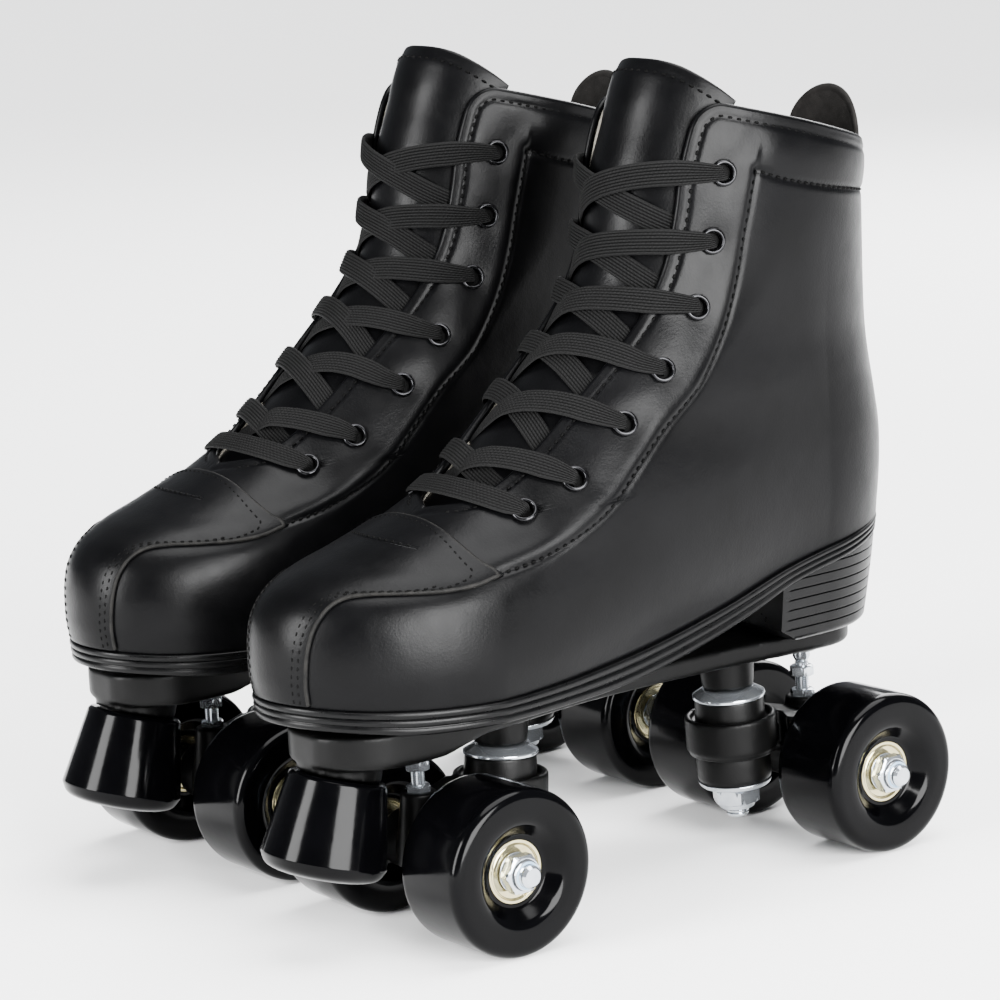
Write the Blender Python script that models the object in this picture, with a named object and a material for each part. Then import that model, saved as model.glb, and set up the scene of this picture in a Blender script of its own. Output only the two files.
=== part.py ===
"""A pair of quad roller skates: two lace-up boots, each on a plate with two sprung trucks,
four wheels on ball bearings and a toe stop.

Lengths below are in millimetres and meshes are written in metres. In a skate's own frame x runs
sideways from its centre plane, y runs from toe (minus) to heel (plus) with 0 midway between its
axles, and z is up from the floor. The left skate stands at +X, the right one is its mirror image.
"""

import math

import bmesh
import bpy
from mathutils import Matrix, Vector

METRE = 0.001

# Layout of the pair
SKATE_SPACING = 127.4
AXLE_MIDDLE_Y = 13.6
FIT_GAP = 0.35

# Chassis
WHEELBASE = 168.0
TRACK = 73.2
WHEEL_DIAMETER = 58.0
WHEEL_WIDTH = 32.0
WHEEL_SIDES = 16
TRUCK_SIDES = 12
BEARING_RADIUS = 11.0
BEARING_WIDTH = 7.0
BEARING_OUTER_FACE = 10.8
AXLE_RADIUS = 4.0
AXLE_HALF_LENGTH = 57.0
AXLE_HEIGHT = WHEEL_DIAMETER / 2.0
PLATE_TOP = 78.0
PLATE_BOTTOM = 70.5
PLATE_FRONT_BOTTOM = 66.0

# Truck, measured from its own axle: inward is towards the middle of the skate
KINGPIN_INWARD = 31.0
KINGPIN_LEAN_DEG = 3.0
KINGPIN_RADIUS = 4.6
RING_HEIGHT_Z = 41.5
RING_RADIUS = 16.7
RING_HALF_HEIGHT = 7.2
RING_BORE = 8.5
PIVOT_OUTWARD = 4.0
PIVOT_BALL_Z = 64.4
PIVOT_STUD_RADIUS = 2.5

# Toe stop
TOE_STOP_LEAN_DEG = 16.0
TOE_STOP_TOP = (-120.6, 60.6)
TOE_STOP_LENGTH = 34.0

# Boot. A ring of the boot has a height fraction t, 0 at the sole seam and 1 at the collar.
TOE_SHIFT = 5.5
LEATHER = 3.2
COLLAR_PADDING = 2.0
TONGUE_THICKNESS = 3.6
SEAM_HEIGHT = ((-143, 90), (-125, 88.2), (-100, 86.9), (-70, 86.5), (-40, 88), (-8, 91.6),
               (25, 98.5), (57, 106), (90, 111), (122, 114))
FRONT_LINE = ((0.0, -142), (0.041, -143), (0.114, -141.5), (0.158, -136), (0.187, -127),
              (0.211, -115), (0.24, -101), (0.274, -86), (0.307, -74), (0.344, -64),
              (0.397, -52), (0.466, -38), (0.547, -23), (0.619, -13), (0.692, -6),
              (0.786, -1.5), (0.889, 2), (1.0, 9.5), (1.1, 20), (1.15, 26))
BACK_LINE = ((0.0, 121), (0.22, 123), (0.34, 121), (0.58, 118), (0.87, 117), (1.0, 118.5))
BALL_WIDTH = ((0.0, 42.5), (0.06, 44), (0.15, 42.5), (0.22, 40), (0.4, 38), (1.1, 38))
WAIST_WIDTH = ((0.0, 33.5), (0.08, 38.5), (0.16, 41), (0.28, 41.5), (0.42, 39.5), (0.6, 38.5),
               (0.8, 39.5), (1.1, 39))
HEEL_WIDTH = ((0.0, 31), (0.12, 33.5), (0.25, 34), (0.4, 33.5), (0.6, 36), (0.8, 39), (1.1, 39.5))
FRONT_ROUNDING = ((0.0, 62), (0.2, 62), (0.3, 52), (0.45, 50), (0.7, 56), (1.1, 54))
BACK_ROUNDING = ((0.0, 42), (0.3, 46), (0.6, 54), (1.1, 58))
THROAT_EDGE = ((0.285, 0), (0.297, 13), (0.315, 17), (0.36, 20), (0.45, 22.5), (0.6, 25),
               (0.8, 27), (1.0, 28))
BOOT_RINGS = (0.0, 0.06, 0.13, 0.175, 0.21, 0.25, 0.285, 0.315, 0.37, 0.46, 0.58, 0.72, 0.86,
              1.0)
THROAT_RING = 6
HALF_COLUMNS = 10
EYELET_ROWS = ((0.289, 0.320), (0.333, 0.395), (0.417, 0.495), (0.503, 0.577),
               (0.612, 0.667), (0.740, 0.762), (0.877, 0.898))
EYELET_X = (30.0, 34.0, 35.0, 34.5, 33.4, 33.2, 34.2)
LACE_RADIUS = 1.5


def smooth(knots, x):
    """Value at x of a cubic curve through knots, held level past its ends."""
    if x <= knots[0][0]:
        return knots[0][1]
    if x >= knots[-1][0]:
        return knots[-1][1]
    last = len(knots) - 1
    i = max(k for k in range(last) if knots[k][0] <= x)

    def slope(k):
        a, b = knots[max(k - 1, 0)], knots[min(k + 1, last)]
        return (b[1] - a[1]) / (b[0] - a[0])

    (x0, y0), (x1, y1) = knots[i], knots[i + 1]
    span = x1 - x0
    s = (x - x0) / span
    return ((2 * s**3 - 3 * s**2 + 1) * y0 + (s**3 - 2 * s**2 + s) * span * slope(i)
            + (3 * s**2 - 2 * s**3) * y1 + (s**3 - s**2) * span * slope(i + 1))


# The boot's surface

def collar_height(y):
    return 272.5 - 0.2216 * (y - 21.0)


def toe_offset(y):
    """How far the foot's centre line swings inward towards the toe."""
    return -TOE_SHIFT * max(0.0, (-45.0 - y) / 98.0) ** 1.6


def rounded(distance, length):
    """0 at a tip, rising like a quarter circle to 1 at length from it."""
    u = min(max(distance / length, 0.0), 1.0)
    return math.sqrt(max(0.0, 1.0 - (1.0 - u) ** 2))


def half_width(t, y):
    ends = ((-80.0, smooth(BALL_WIDTH, t)), (-5.0, smooth(WAIST_WIDTH, t)),
            (75.0, smooth(HEEL_WIDTH, t)))
    front = rounded(y - smooth(FRONT_LINE, t), smooth(FRONT_ROUNDING, t))
    back = rounded(smooth(BACK_LINE, t) - y, smooth(BACK_ROUNDING, t))
    return smooth(ends, y) * front * back


def boot_point(t, phi, side):
    """Point on the boot's outside: phi is 0 at the front and pi at the back."""
    front, back = smooth(FRONT_LINE, t), smooth(BACK_LINE, t)
    y = (front + back) / 2 - (back - front) / 2 * math.cos(phi)
    seam = smooth(SEAM_HEIGHT, y)
    z = seam + (collar_height(y) - seam) * t
    return Vector((toe_offset(y) + side * half_width(t, y), y, z))


def boot_normal(t, phi, side):
    step = 0.01
    phi = min(max(phi, step), math.pi - step)
    along = boot_point(t + step, phi, side) - boot_point(t - step, phi, side)
    around = boot_point(t, phi + step, side) - boot_point(t, phi - step, side)
    return (around.cross(along) * side).normalized()


def offset_point(t, phi, side, height):
    """Point above the boot's outside by height, or under it where height is negative."""
    point = boot_point(t, phi, side)
    normal = boot_normal(t, phi, side)
    if phi < 0.02:
        normal.x = 0.0
        normal.normalize()
    return point + normal * height


def phi_at(t, x):
    """The angle at which the ring's half width reaches x, on its front half."""
    low, high = 0.0, math.pi / 2
    front, back = smooth(FRONT_LINE, t), smooth(BACK_LINE, t)
    for _ in range(30):
        phi = (low + high) / 2
        y = (front + back) / 2 - (back - front) / 2 * math.cos(phi)
        if half_width(t, y) < x:
            low = phi
        else:
            high = phi
    return (low + high) / 2


# Building blocks

def material(name, colour, roughness, metallic=0.0):
    made = bpy.data.materials.get(name)
    if made is None:
        made = bpy.data.materials.new(name)
        made.use_nodes = True
        shader = made.node_tree.nodes["Principled BSDF"]
        shader.inputs["Base Color"].default_value = (*colour, 1.0)
        shader.inputs["Roughness"].default_value = roughness
        shader.inputs["Metallic"].default_value = metallic
    return made


def leather():
    return material("black_leather", (0.018, 0.018, 0.019), 0.42)


def lace_cloth():
    return material("black_lace", (0.012, 0.012, 0.013), 0.85)


def tab_suede():
    return material("tab_leather", (0.05, 0.046, 0.043), 0.75)


def lining():
    return material("insole_fabric", (0.03, 0.03, 0.032), 0.9)


def sole_rubber():
    return material("sole_rubber", (0.02, 0.02, 0.021), 0.5)


def plate_plastic():
    return material("plate_plastic", (0.015, 0.015, 0.015), 0.45)


def cushion_rubber():
    return material("cushion_rubber", (0.012, 0.012, 0.012), 0.5)


def wheel_plastic():
    return material("wheel_urethane", (0.01, 0.01, 0.011), 0.12)


def zinc():
    return material("zinc_steel", (0.72, 0.75, 0.78), 0.25, 1.0)


def bearing_steel():
    return material("bearing_steel", (0.75, 0.72, 0.6), 0.2, 1.0)


def mesh_object(name, verts, faces, surface):
    """A named object from points in millimetres, its faces turned outward."""
    mesh = bpy.data.meshes.new(name)
    mesh.from_pydata([Vector(v) * METRE for v in verts], [], faces)
    shape = bmesh.new()
    shape.from_mesh(mesh)
    bmesh.ops.remove_doubles(shape, verts=shape.verts, dist=1e-7)
    bmesh.ops.recalc_face_normals(shape, faces=shape.faces)
    shape.to_mesh(mesh)
    shape.free()
    mesh.shade_smooth()
    mesh.set_sharp_from_angle(angle=math.radians(35))
    made = bpy.data.objects.new(name, mesh)
    bpy.context.scene.collection.objects.link(made)
    made.data.materials.append(surface)
    return made


def turned(name, profile, sides, frame, surface, phase=0.5):
    """A solid turned about the local Z axis: profile holds (radius, height) corners of its
    half section, and a corner of radius 0 is on the axis."""
    verts, loops = [], []
    for radius, height in profile:
        if radius == 0:
            loops.append([len(verts)] * sides)
            verts.append(frame @ Vector((0, 0, height)))
            continue
        loops.append([len(verts) + k for k in range(sides)])
        for k in range(sides):
            angle = 2 * math.pi * (k + phase) / sides
            verts.append(frame @ Vector((radius * math.cos(angle), radius * math.sin(angle), height)))
    faces = []
    count = len(profile)
    open_ended = profile[0][0] == 0 and profile[-1][0] == 0
    for a in range(count - 1 if open_ended else count):
        lower, upper = loops[a], loops[(a + 1) % count]
        for k in range(sides):
            n = (k + 1) % sides
            corners = []
            for corner in (lower[k], lower[n], upper[n], upper[k]):
                if corner not in corners:
                    corners.append(corner)
            if len(corners) > 2:
                faces.append(corners)
    return mesh_object(name, verts, faces, surface)


def stations_solid(name, stations, surface):
    """A solid lofted through stations: each is a closed loop of the same number of points."""
    count = len(stations[0])
    verts = [p for loop in stations for p in loop]
    faces = [tuple(range(count)), tuple(range(len(verts) - count, len(verts)))]
    for s in range(len(stations) - 1):
        for k in range(count):
            n = (k + 1) % count
            faces.append((s * count + k, s * count + n, (s + 1) * count + n, (s + 1) * count + k))
    return mesh_object(name, verts, faces, surface)


def combine(body, others, operation):
    """Joins others to body, or cuts them from it, and removes them."""
    for other in others:
        cut = body.modifiers.new("join", "BOOLEAN")
        cut.operation = operation
        cut.solver = "EXACT"
        cut.object = other
        evaluated = body.evaluated_get(bpy.context.evaluated_depsgraph_get())
        result = bpy.data.meshes.new_from_object(evaluated)
        body.modifiers.remove(cut)
        body.data = result
        bpy.data.objects.remove(other)
    body.data.set_sharp_from_angle(angle=math.radians(35))
    return body


def upright(x, y, z, lean_deg=0.0):
    """A frame at a point whose Z axis leans by lean_deg in the skate's centre plane."""
    return Matrix.Translation((x, y, z)) @ Matrix.Rotation(math.radians(lean_deg), 4, "X")


def sideways(x, y, z):
    """A frame at a point whose Z axis runs along the skate's X axis."""
    return Matrix.Translation((x, y, z)) @ Matrix.Rotation(math.radians(90), 4, "Y")


# The boot

def leather_thickness(t):
    return LEATHER + COLLAR_PADDING * min(max((t - 0.78) / 0.2, 0.0), 1.0)


def boot_upper(name):
    """The leather shell with its floor: an outer and an inner skin joined at the collar and
    along the edges of the throat."""
    verts, index = [], {}

    def vertex(skin, k, side, j):
        t = BOOT_RINGS[k]
        edge = 0.0 if k <= THROAT_RING else phi_at(t, smooth(THROAT_EDGE, t))
        phi = edge + (math.pi - edge) * j / HALF_COLUMNS
        if j == HALF_COLUMNS or (j == 0 and k <= THROAT_RING):
            side = 1
        key = (skin, k, side, j)
        if key not in index:
            if skin == "outer":
                point = boot_point(t, phi, side)
            else:
                t = max(t, LEATHER / 200.0)
                point = offset_point(t, phi, side, -leather_thickness(t))
                if j == HALF_COLUMNS:
                    point.x = 0.0
            index[key] = len(verts)
            verts.append(point)
        return index[key]

    faces = []
    last = len(BOOT_RINGS) - 1
    for skin in ("outer", "inner"):
        for side in (1, -1):
            for k in range(last):
                for j in range(HALF_COLUMNS):
                    faces.append([vertex(skin, k, side, j), vertex(skin, k, side, j + 1),
                                  vertex(skin, k + 1, side, j + 1), vertex(skin, k + 1, side, j)])
        for j in range(HALF_COLUMNS):
            faces.append([vertex(skin, 0, 1, j), vertex(skin, 0, 1, j + 1),
                          vertex(skin, 0, -1, j + 1), vertex(skin, 0, -1, j)])
    for side in (1, -1):
        for j in range(HALF_COLUMNS):
            faces.append([vertex("outer", last, side, j), vertex("outer", last, side, j + 1),
                          vertex("inner", last, side, j + 1), vertex("inner", last, side, j)])
        for k in range(THROAT_RING, last):
            faces.append([vertex("outer", k, side, 0), vertex("outer", k + 1, side, 0),
                          vertex("inner", k + 1, side, 0), vertex("inner", k, side, 0)])
    distinct = [list(dict.fromkeys(face)) for face in faces]
    return mesh_object(name, verts, [face for face in distinct if len(face) > 2], leather())


TONGUE_ROWS = (0.325, 0.36, 0.42, 0.5, 0.6, 0.72, 0.85, 0.96, 1.03)
TONGUE_TOP = ((0.0, 1.105), (20.0, 1.09), (27.0, 1.06), (30.0, 1.045))
TONGUE_X = (-30.0, -24.0, -13.0, 0.0, 13.0, 24.0, 30.0)
TONGUE_DEPTH = LEATHER + 1.2


def tongue(name):
    """The padded sheet that fills the throat, tucked under both flaps."""
    sheets = []
    for depth in (TONGUE_DEPTH, TONGUE_DEPTH + TONGUE_THICKNESS):
        rows = []
        for r in range(len(TONGUE_ROWS) + 1):
            row = []
            for x in TONGUE_X:
                t = TONGUE_ROWS[r] if r < len(TONGUE_ROWS) else smooth(TONGUE_TOP, abs(x))
                inset = depth + max(0.0, leather_thickness(min(t, 1.0)) - LEATHER)
                width = abs(x) * min(1.0, 0.55 + 6.0 * (t - TONGUE_ROWS[0]))
                phi = phi_at(t, width) if x else 0.0
                row.append(offset_point(t, phi, 1 if x >= 0 else -1, -inset))
            rows.append(row)
        sheets.append(rows)
    stations = [outer + inner[::-1] for outer, inner in zip(*sheets)]
    return stations_solid(name, stations, leather())


def eyelet_point(row, side, along, height):
    """Point over an eyelet, shifted along the boot by a step of t."""
    t = EYELET_ROWS[row][0] + along
    return offset_point(t, phi_at(t, EYELET_X[row]), side, height)


def crossing_point(low_row, from_side, share, height):
    """Point on the strand that climbs from low_row on from_side to the next row across."""
    (edge_a, mid_a), (edge_b, mid_b) = EYELET_ROWS[low_row], EYELET_ROWS[low_row + 1]
    x_from, x_to = EYELET_X[low_row], EYELET_X[low_row + 1]
    x = x_from + (-x_to - x_from) * share
    bend = (abs(x) / max(x_from, x_to)) ** 2
    edge = edge_a + (edge_b - edge_a) * share
    mid = mid_a + (mid_b - mid_a) * share
    t = mid + (edge - mid) * bend
    side = from_side if x >= 0 else -from_side
    return offset_point(t, phi_at(t, abs(x)), side, height)


def lace(name):
    """One lace, held all along its route: a bar over the lowest eyelets, then two crossing
    strands up to the highest pair."""
    lift = LACE_RADIUS + 1.6
    turn = 0.012
    route = []
    last = len(EYELET_ROWS) - 1
    for start, over in ((1, 4.0), (-1, 0.0)):
        strand = []
        side = start
        for row in range(last):
            strand.append(eyelet_point(row, side, turn, lift))
            for share in (0.12, 0.3, 0.5, 0.7, 0.88):
                hump = over * (1.0 - abs(share - 0.5) / 0.3)
                strand.append(crossing_point(row, side, share, lift + max(hump, 0.0)))
            side = -side
            strand.append(eyelet_point(row + 1, side, -turn, lift))
        strand.append(eyelet_point(last, side, turn * 0.3, lift))
        route.append(strand)
    bar = []
    edge, middle = EYELET_ROWS[0]
    for x in (24.0, 12.0, 0.0, -12.0, -24.0):
        t = middle + (edge - middle) * (x / EYELET_X[0]) ** 2
        bar.append(offset_point(t - turn, phi_at(t - turn, abs(x)), 1 if x >= 0 else -1, lift))
    points = route[0][::-1] + [eyelet_point(0, 1, -turn, lift)] + bar
    points += [eyelet_point(0, -1, -turn, lift)] + route[1]
    curve = bpy.data.curves.new(name, "CURVE")
    curve.dimensions = "3D"
    curve.bevel_depth = LACE_RADIUS * METRE
    curve.bevel_resolution = 0
    curve.use_fill_caps = True
    curve.materials.append(lace_cloth())
    spline = curve.splines.new("POLY")
    spline.points.add(len(points) - 1)
    for slot, point in zip(spline.points, points):
        slot.co = (*(point * METRE), 1.0)
    made = bpy.data.objects.new(name, curve)
    bpy.context.scene.collection.objects.link(made)
    return made


def pull_tab(name):
    """The rounded loop of leather at the back of the collar."""
    half, low, shoulder, top = 13.0, 228.0, 258.0, 271.0
    outline = [(-half, low), (half, low), (half, shoulder)]
    for k in range(1, 6):
        angle = math.pi * k / 6
        outline.append((half * math.cos(angle), shoulder + (top - shoulder) * math.sin(angle)))
    outline.append((-half, shoulder))
    back = smooth(BACK_LINE, 0.8) - LEATHER - COLLAR_PADDING - 1.4
    lean = 0.04
    sheets = []
    for shift in (0.0, 2.2):
        sheets.append([(x, back - shift - abs(x) ** 2 * 0.012 - lean * (z - low), z) for x, z in outline])
    return stations_solid(name, sheets, tab_suede())


def insole(name):
    """The sock that the foot stands on, lying on the shell's floor."""
    stations = []
    for k in range(1, 14):
        phi = math.pi * k / 14
        base = boot_point(0.02, phi, 1)
        centre = toe_offset(base.y)
        half = max(half_width(0.02, base.y) - LEATHER - 4.5, 2.0)
        y = base.y * 0.955
        floor = seam_facet_height(y) + LEATHER + 1.4
        stations.append([(centre - half, y, floor), (centre + half, y, floor),
                         (centre + half - 0.5, y, floor + 3.0), (centre - half + 0.5, y, floor + 3.0)])
    return stations_solid(name, stations, lining())


SOLE_BOTTOM = ((-146, 82.7), (-125, 80.4), (-108, 78.7), (-40, 78.7), (-15, 80.6), (15, 86.5),
               (40, 94), (58, 99))
HEEL_FRONT = 60.0
HEEL_CHAMFER = 6.0
HEEL_BOTTOM = 78.35


def seam_facet_height(y):
    """Height of the boot's faceted sole seam at y, straight between its columns."""
    columns = [boot_point(0.0, math.pi * j / HALF_COLUMNS, 1) for j in range(HALF_COLUMNS + 1)]
    for low, high in zip(columns, columns[1:]):
        if y <= high.y:
            share = max(0.0, (y - low.y) / (high.y - low.y))
            return low.z + (high.z - low.z) * share
    return columns[-1].z


def outsole(name):
    """The rubber sole with its stacked heel: a slab that follows the boot's seam, with the
    heel block standing under its back end."""
    welt = 1.6
    front, back = smooth(FRONT_LINE, 0.0) - welt, smooth(BACK_LINE, 0.0) + welt * 0.4
    ys = [boot_point(0.0, math.pi * k / (2 * HALF_COLUMNS), 1).y for k in range(1, 2 * HALF_COLUMNS)]
    ys = [y for y in ys if abs(y - HEEL_FRONT) > 4.0]
    ys += [HEEL_FRONT - 1.0, HEEL_FRONT, HEEL_FRONT + HEEL_CHAMFER, front + 0.25, back - 0.25]
    stations = []
    for y in sorted(ys):
        grown = half_width(0.0, min(max(y, front + welt + 0.3), back - welt * 0.4 - 0.3)) + welt
        tip = min(rounded(y - front, 9.0), rounded(back - y, 9.0))
        half = max(grown * (0.35 + 0.65 * tip), 3.0)
        top = seam_facet_height(y) - FIT_GAP
        centre = toe_offset(y)
        bottom, taper = smooth(SOLE_BOTTOM, y), 1.2
        if y >= HEEL_FRONT:
            bottom, taper = HEEL_BOTTOM, 4.5
            if y < HEEL_FRONT + HEEL_CHAMFER:
                bottom += 5.0
        low = max(half - taper, 1.5)
        shift = 0.0 if y < 100 else -3.0 * (y - 100) / 22
        middle = (top + bottom) / 2 if y < HEEL_FRONT else top - 7.0
        wide = half - (0.0 if y < HEEL_FRONT else 0.8)
        stations.append([(centre - half, y, top), (centre + half, y, top),
                         (centre + wide, y, middle),
                         (centre + low, y + shift, bottom), (centre - low, y + shift, bottom),
                         (centre - wide, y, middle)])
    return stations_solid(name, stations, sole_rubber())


# The chassis

PLATE_HALF_WIDTH = ((-134, 20), (-110, 24.5), (-70, 24), (-20, 18), (40, 18), (80, 20.5), (103, 18))
PLATE_UNDERSIDE = ((-134, PLATE_FRONT_BOTTOM), (-94, PLATE_FRONT_BOTTOM), (-76, PLATE_BOTTOM),
                   (103, PLATE_BOTTOM))
PLATE_FRONT, PLATE_BACK = -134.0, 103.0
CUP_FLOOR = RING_HALF_HEIGHT - 2.2
RUNNING_GAP = FIT_GAP + 0.1
AXLE_BORE = AXLE_RADIUS + FIT_GAP + 0.15


def truck_y(truck, inward):
    """The y of a point on a truck that lies inward of its axle by this much."""
    return truck * (WHEELBASE / 2 - inward)


def plate_slab(name):
    stations = []
    steps = 16
    for k in range(steps + 1):
        y = PLATE_FRONT + (PLATE_BACK - PLATE_FRONT) * (1 - math.cos(math.pi * k / steps)) / 2
        y = min(max(y, PLATE_FRONT + 0.3), PLATE_BACK - 0.3)
        tip = min(rounded(y - PLATE_FRONT, 20.0), rounded(PLATE_BACK - y, 14.0))
        half = smooth(PLATE_HALF_WIDTH, y) * (0.3 + 0.7 * tip)
        under = PLATE_FRONT_BOTTOM if y < -92 else smooth(PLATE_UNDERSIDE, y)
        stations.append([(-half, y, PLATE_TOP), (half, y, PLATE_TOP),
                         (half - 0.8, y, under), (-half + 0.8, y, under)])
    return stations_solid(name, stations, plate_plastic())


def kingpin_frame(truck):
    """Frame at the middle of the truck's ring, its Z axis along the kingpin."""
    return upright(0, truck_y(truck, KINGPIN_INWARD), RING_HEIGHT_Z, truck * KINGPIN_LEAN_DEG)


def pivot_ball(truck):
    return Vector((0, truck_y(truck, -PIVOT_OUTWARD), PIVOT_BALL_Z))


def toe_stop_frame():
    """Frame at the toe stop's top, its Z axis up along the stem."""
    return upright(0, *TOE_STOP_TOP, -TOE_STOP_LEAN_DEG)


def plate(name):
    """The moulded plate with its bosses for the kingpins, pivots and toe stop."""
    body = plate_slab(name)
    joined, cut = [], []
    for truck in (-1, 1):
        king = kingpin_frame(truck)
        joined.append(turned("boss", ((0, 17.6), (8.7, 17.6), (8.7, 31.0), (0, 31.0)), TRUCK_SIDES, king,
                             plate_plastic()))
        cut.append(turned("hole", ((0, 10.0), (KINGPIN_RADIUS + 2 * FIT_GAP, 10.0),
                                   (KINGPIN_RADIUS + 2 * FIT_GAP, 33.2), (0, 33.2)), 8, king,
                          plate_plastic()))
        ball = pivot_ball(truck)
        seat = Matrix.Translation(ball)
        joined.append(turned("boss", ((0, -1.6), (6.6, -1.6), (7.6, 8.5), (0, 8.5)), TRUCK_SIDES, seat,
                             plate_plastic()))
        cut.append(turned("hole", ((0, -8.0), (4.4, -8.0), (4.4, 4.2), (0, 4.2)), 8, seat,
                          plate_plastic()))
    stop = toe_stop_frame()
    joined.append(turned("boss", ((0, 0.4), (14.4, 0.4), (14.4, 11.0), (0, 11.0)), 16, stop,
                         plate_plastic()))
    cut.append(turned("hole", ((0, -4.0), (8.8, -4.0), (8.8, 9.5), (0, 9.5)), TRUCK_SIDES, stop,
                      plate_plastic()))
    return combine(combine(body, joined, "UNION"), cut, "DIFFERENCE")


def toe_stop(name):
    """The moulded brake: a cone that widens downward, with its stem up in the plate."""
    low = -TOE_STOP_LENGTH
    profile = ((0, 9.0), (8.0, 9.0), (8.0, 0.0), (16.7, 0.0), (22.6, low + 7.0), (23.0, low + 5.5),
               (21.6, low + 1.6), (18.0, low), (0, low))
    return turned(name, profile, 16, toe_stop_frame(), wheel_plastic())


def hanger(name, truck):
    """The cast truck: the kingpin's ring, the arm, the axle housing and the pivot boss."""
    axle_y = truck_y(truck, 0)
    housing = turned(name, ((0, -25.2), (6.9, -25.2), (7.4, -20.0), (10.6, -15.0), (10.6, 15.0),
                            (7.4, 20.0), (6.9, 25.2), (0, 25.2)), TRUCK_SIDES,
                     sideways(0, axle_y, AXLE_HEIGHT), plate_plastic())
    king = kingpin_frame(truck)
    ring = turned("ring", ((0, -RING_HALF_HEIGHT), (RING_RADIUS, -RING_HALF_HEIGHT),
                           (RING_RADIUS, RING_HALF_HEIGHT), (0, RING_HALF_HEIGHT)), 16, king,
                  plate_plastic())
    near, far = truck_y(truck, KINGPIN_INWARD - 8.0), truck_y(truck, -2.0)
    arm = stations_solid("arm", [
        [(-13.0, near, 34.6), (13.0, near, 34.6), (13.0, near, 48.2), (-13.0, near, 48.2)],
        [(-14.0, axle_y, 22.0), (14.0, axle_y, 22.0), (11.0, axle_y, 44.0), (-11.0, axle_y, 44.0)],
        [(-8.0, far, 24.0), (8.0, far, 24.0), (6.0, far, 42.0), (-6.0, far, 42.0)],
    ], plate_plastic())
    ball = pivot_ball(truck)
    boss = turned("boss", ((0, 23.3), (9.0, 23.3), (6.5, 48.6), (0, 48.6)), 10,
                  Matrix.Translation((0, ball.y, 0)), plate_plastic())
    cups = []
    for face in (1, -1):
        cups.append(turned("cup", ((0, face * 20.0), (14.3, face * 20.0),
                                   (14.3, face * CUP_FLOOR),
                                   (0, face * CUP_FLOOR)), 16, king, plate_plastic()))
    bore = turned("bore", ((0, -20.0), (RING_BORE, -20.0), (RING_BORE, 20.0), (0, 20.0)), 10, king,
                  plate_plastic())
    axle_bore = turned("bore", ((0, -40.0), (AXLE_BORE, -40.0), (AXLE_BORE, 40.0), (0, 40.0)), TRUCK_SIDES,
                       sideways(0, axle_y, AXLE_HEIGHT), plate_plastic())
    stud_bore = turned("bore", ((0, 37.0), (PIVOT_STUD_RADIUS + FIT_GAP, 37.0),
                                (PIVOT_STUD_RADIUS + FIT_GAP, 60.0), (0, 60.0)), 8,
                       Matrix.Translation((0, ball.y, 0)), plate_plastic())
    body = combine(housing, [ring, arm, boss], "UNION")
    return combine(body, cups + [bore, axle_bore, stud_bore], "DIFFERENCE")


def hexagon(across_flats, low, high, frame):
    """A hexagonal nut between two heights."""
    radius = across_flats / math.sqrt(3.0)
    return turned("nut", ((0, low), (radius, low), (radius, high), (0, high)), 6, frame, zinc(), 0.0)


def kingpin(name, truck):
    """The truck's bolt with its lock nut and the flat washer the lower cushion sits on."""
    king = kingpin_frame(truck)
    bolt = turned(name, ((0, 32.8), (KINGPIN_RADIUS, 32.8), (KINGPIN_RADIUS, -30.0), (3.2, -31.5),
                         (0, -31.5)), 12, king, zinc())
    washer = turned("washer", ((0, -20.3), (13.2, -20.3), (13.6, -18.6), (12.6, -18.2), (0, -18.2)), 16,
                    king, zinc())
    nut = hexagon(16.0, -27.6, -20.2, king)
    return combine(bolt, [washer, nut], "UNION")


def top_washer(name, truck):
    """The dished washer between the plate's boss and the upper cushion."""
    hole = KINGPIN_RADIUS + FIT_GAP
    profile = ((hole, 17.2), (9.0, 17.2), (13.2, 15.2), (13.2, 13.6), (12.4, 13.6), (8.6, 15.2),
               (hole, 15.2))
    return turned(name, profile, 16, kingpin_frame(truck), zinc())


def upper_cushion(name, truck):
    hole = KINGPIN_RADIUS + RUNNING_GAP
    low, high = CUP_FLOOR + FIT_GAP, 13.2
    profile = ((hole, high + 1.6), (8.0, high + 1.6), (12.6, high - 0.2), (12.8, low), (hole, low))
    return turned(name, profile, 16, kingpin_frame(truck), cushion_rubber())


def lower_cushion(name, truck):
    hole = KINGPIN_RADIUS + RUNNING_GAP
    low, high = -17.8, -(CUP_FLOOR + FIT_GAP)
    profile = ((hole, high), (13.6, high), (13.6, low + 2.0), (12.6, low), (hole, low))
    return turned(name, profile, 16, kingpin_frame(truck), cushion_rubber())


def pivot_stud(name, truck):
    """The adjustable pivot: a threaded stud with a lock nut and a ball end."""
    ball = pivot_ball(truck)
    frame = Matrix.Translation((0, ball.y, 0))
    top = ball.z
    stud = turned(name, ((0, 37.6), (PIVOT_STUD_RADIUS, 37.6), (PIVOT_STUD_RADIUS, top - 2.2),
                         (3.3, top - 0.6), (3.3, top + 1.0), (1.8, top + 3.0), (0, top + 3.0)), 8,
                  frame, zinc())
    nut = hexagon(8.0, top - 8.4, top - 4.2, frame)
    return combine(stud, [nut], "UNION")


def axle(name, truck):
    """The axle with the lock nut that holds each wheel on."""
    frame = sideways(0, truck_y(truck, 0), AXLE_HEIGHT)
    end = AXLE_HALF_LENGTH
    rod = turned(name, ((0, -end), (3.2, -end), (AXLE_RADIUS, -end + 1.0), (AXLE_RADIUS, end - 1.0),
                        (3.2, end), (0, end)), 12, frame, zinc())
    face = TRACK / 2 + BEARING_OUTER_FACE + FIT_GAP
    nuts = [hexagon(13.0, side * face, side * (face + 6.6), frame) for side in (1, -1)]
    return combine(rod, nuts, "UNION")


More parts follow.
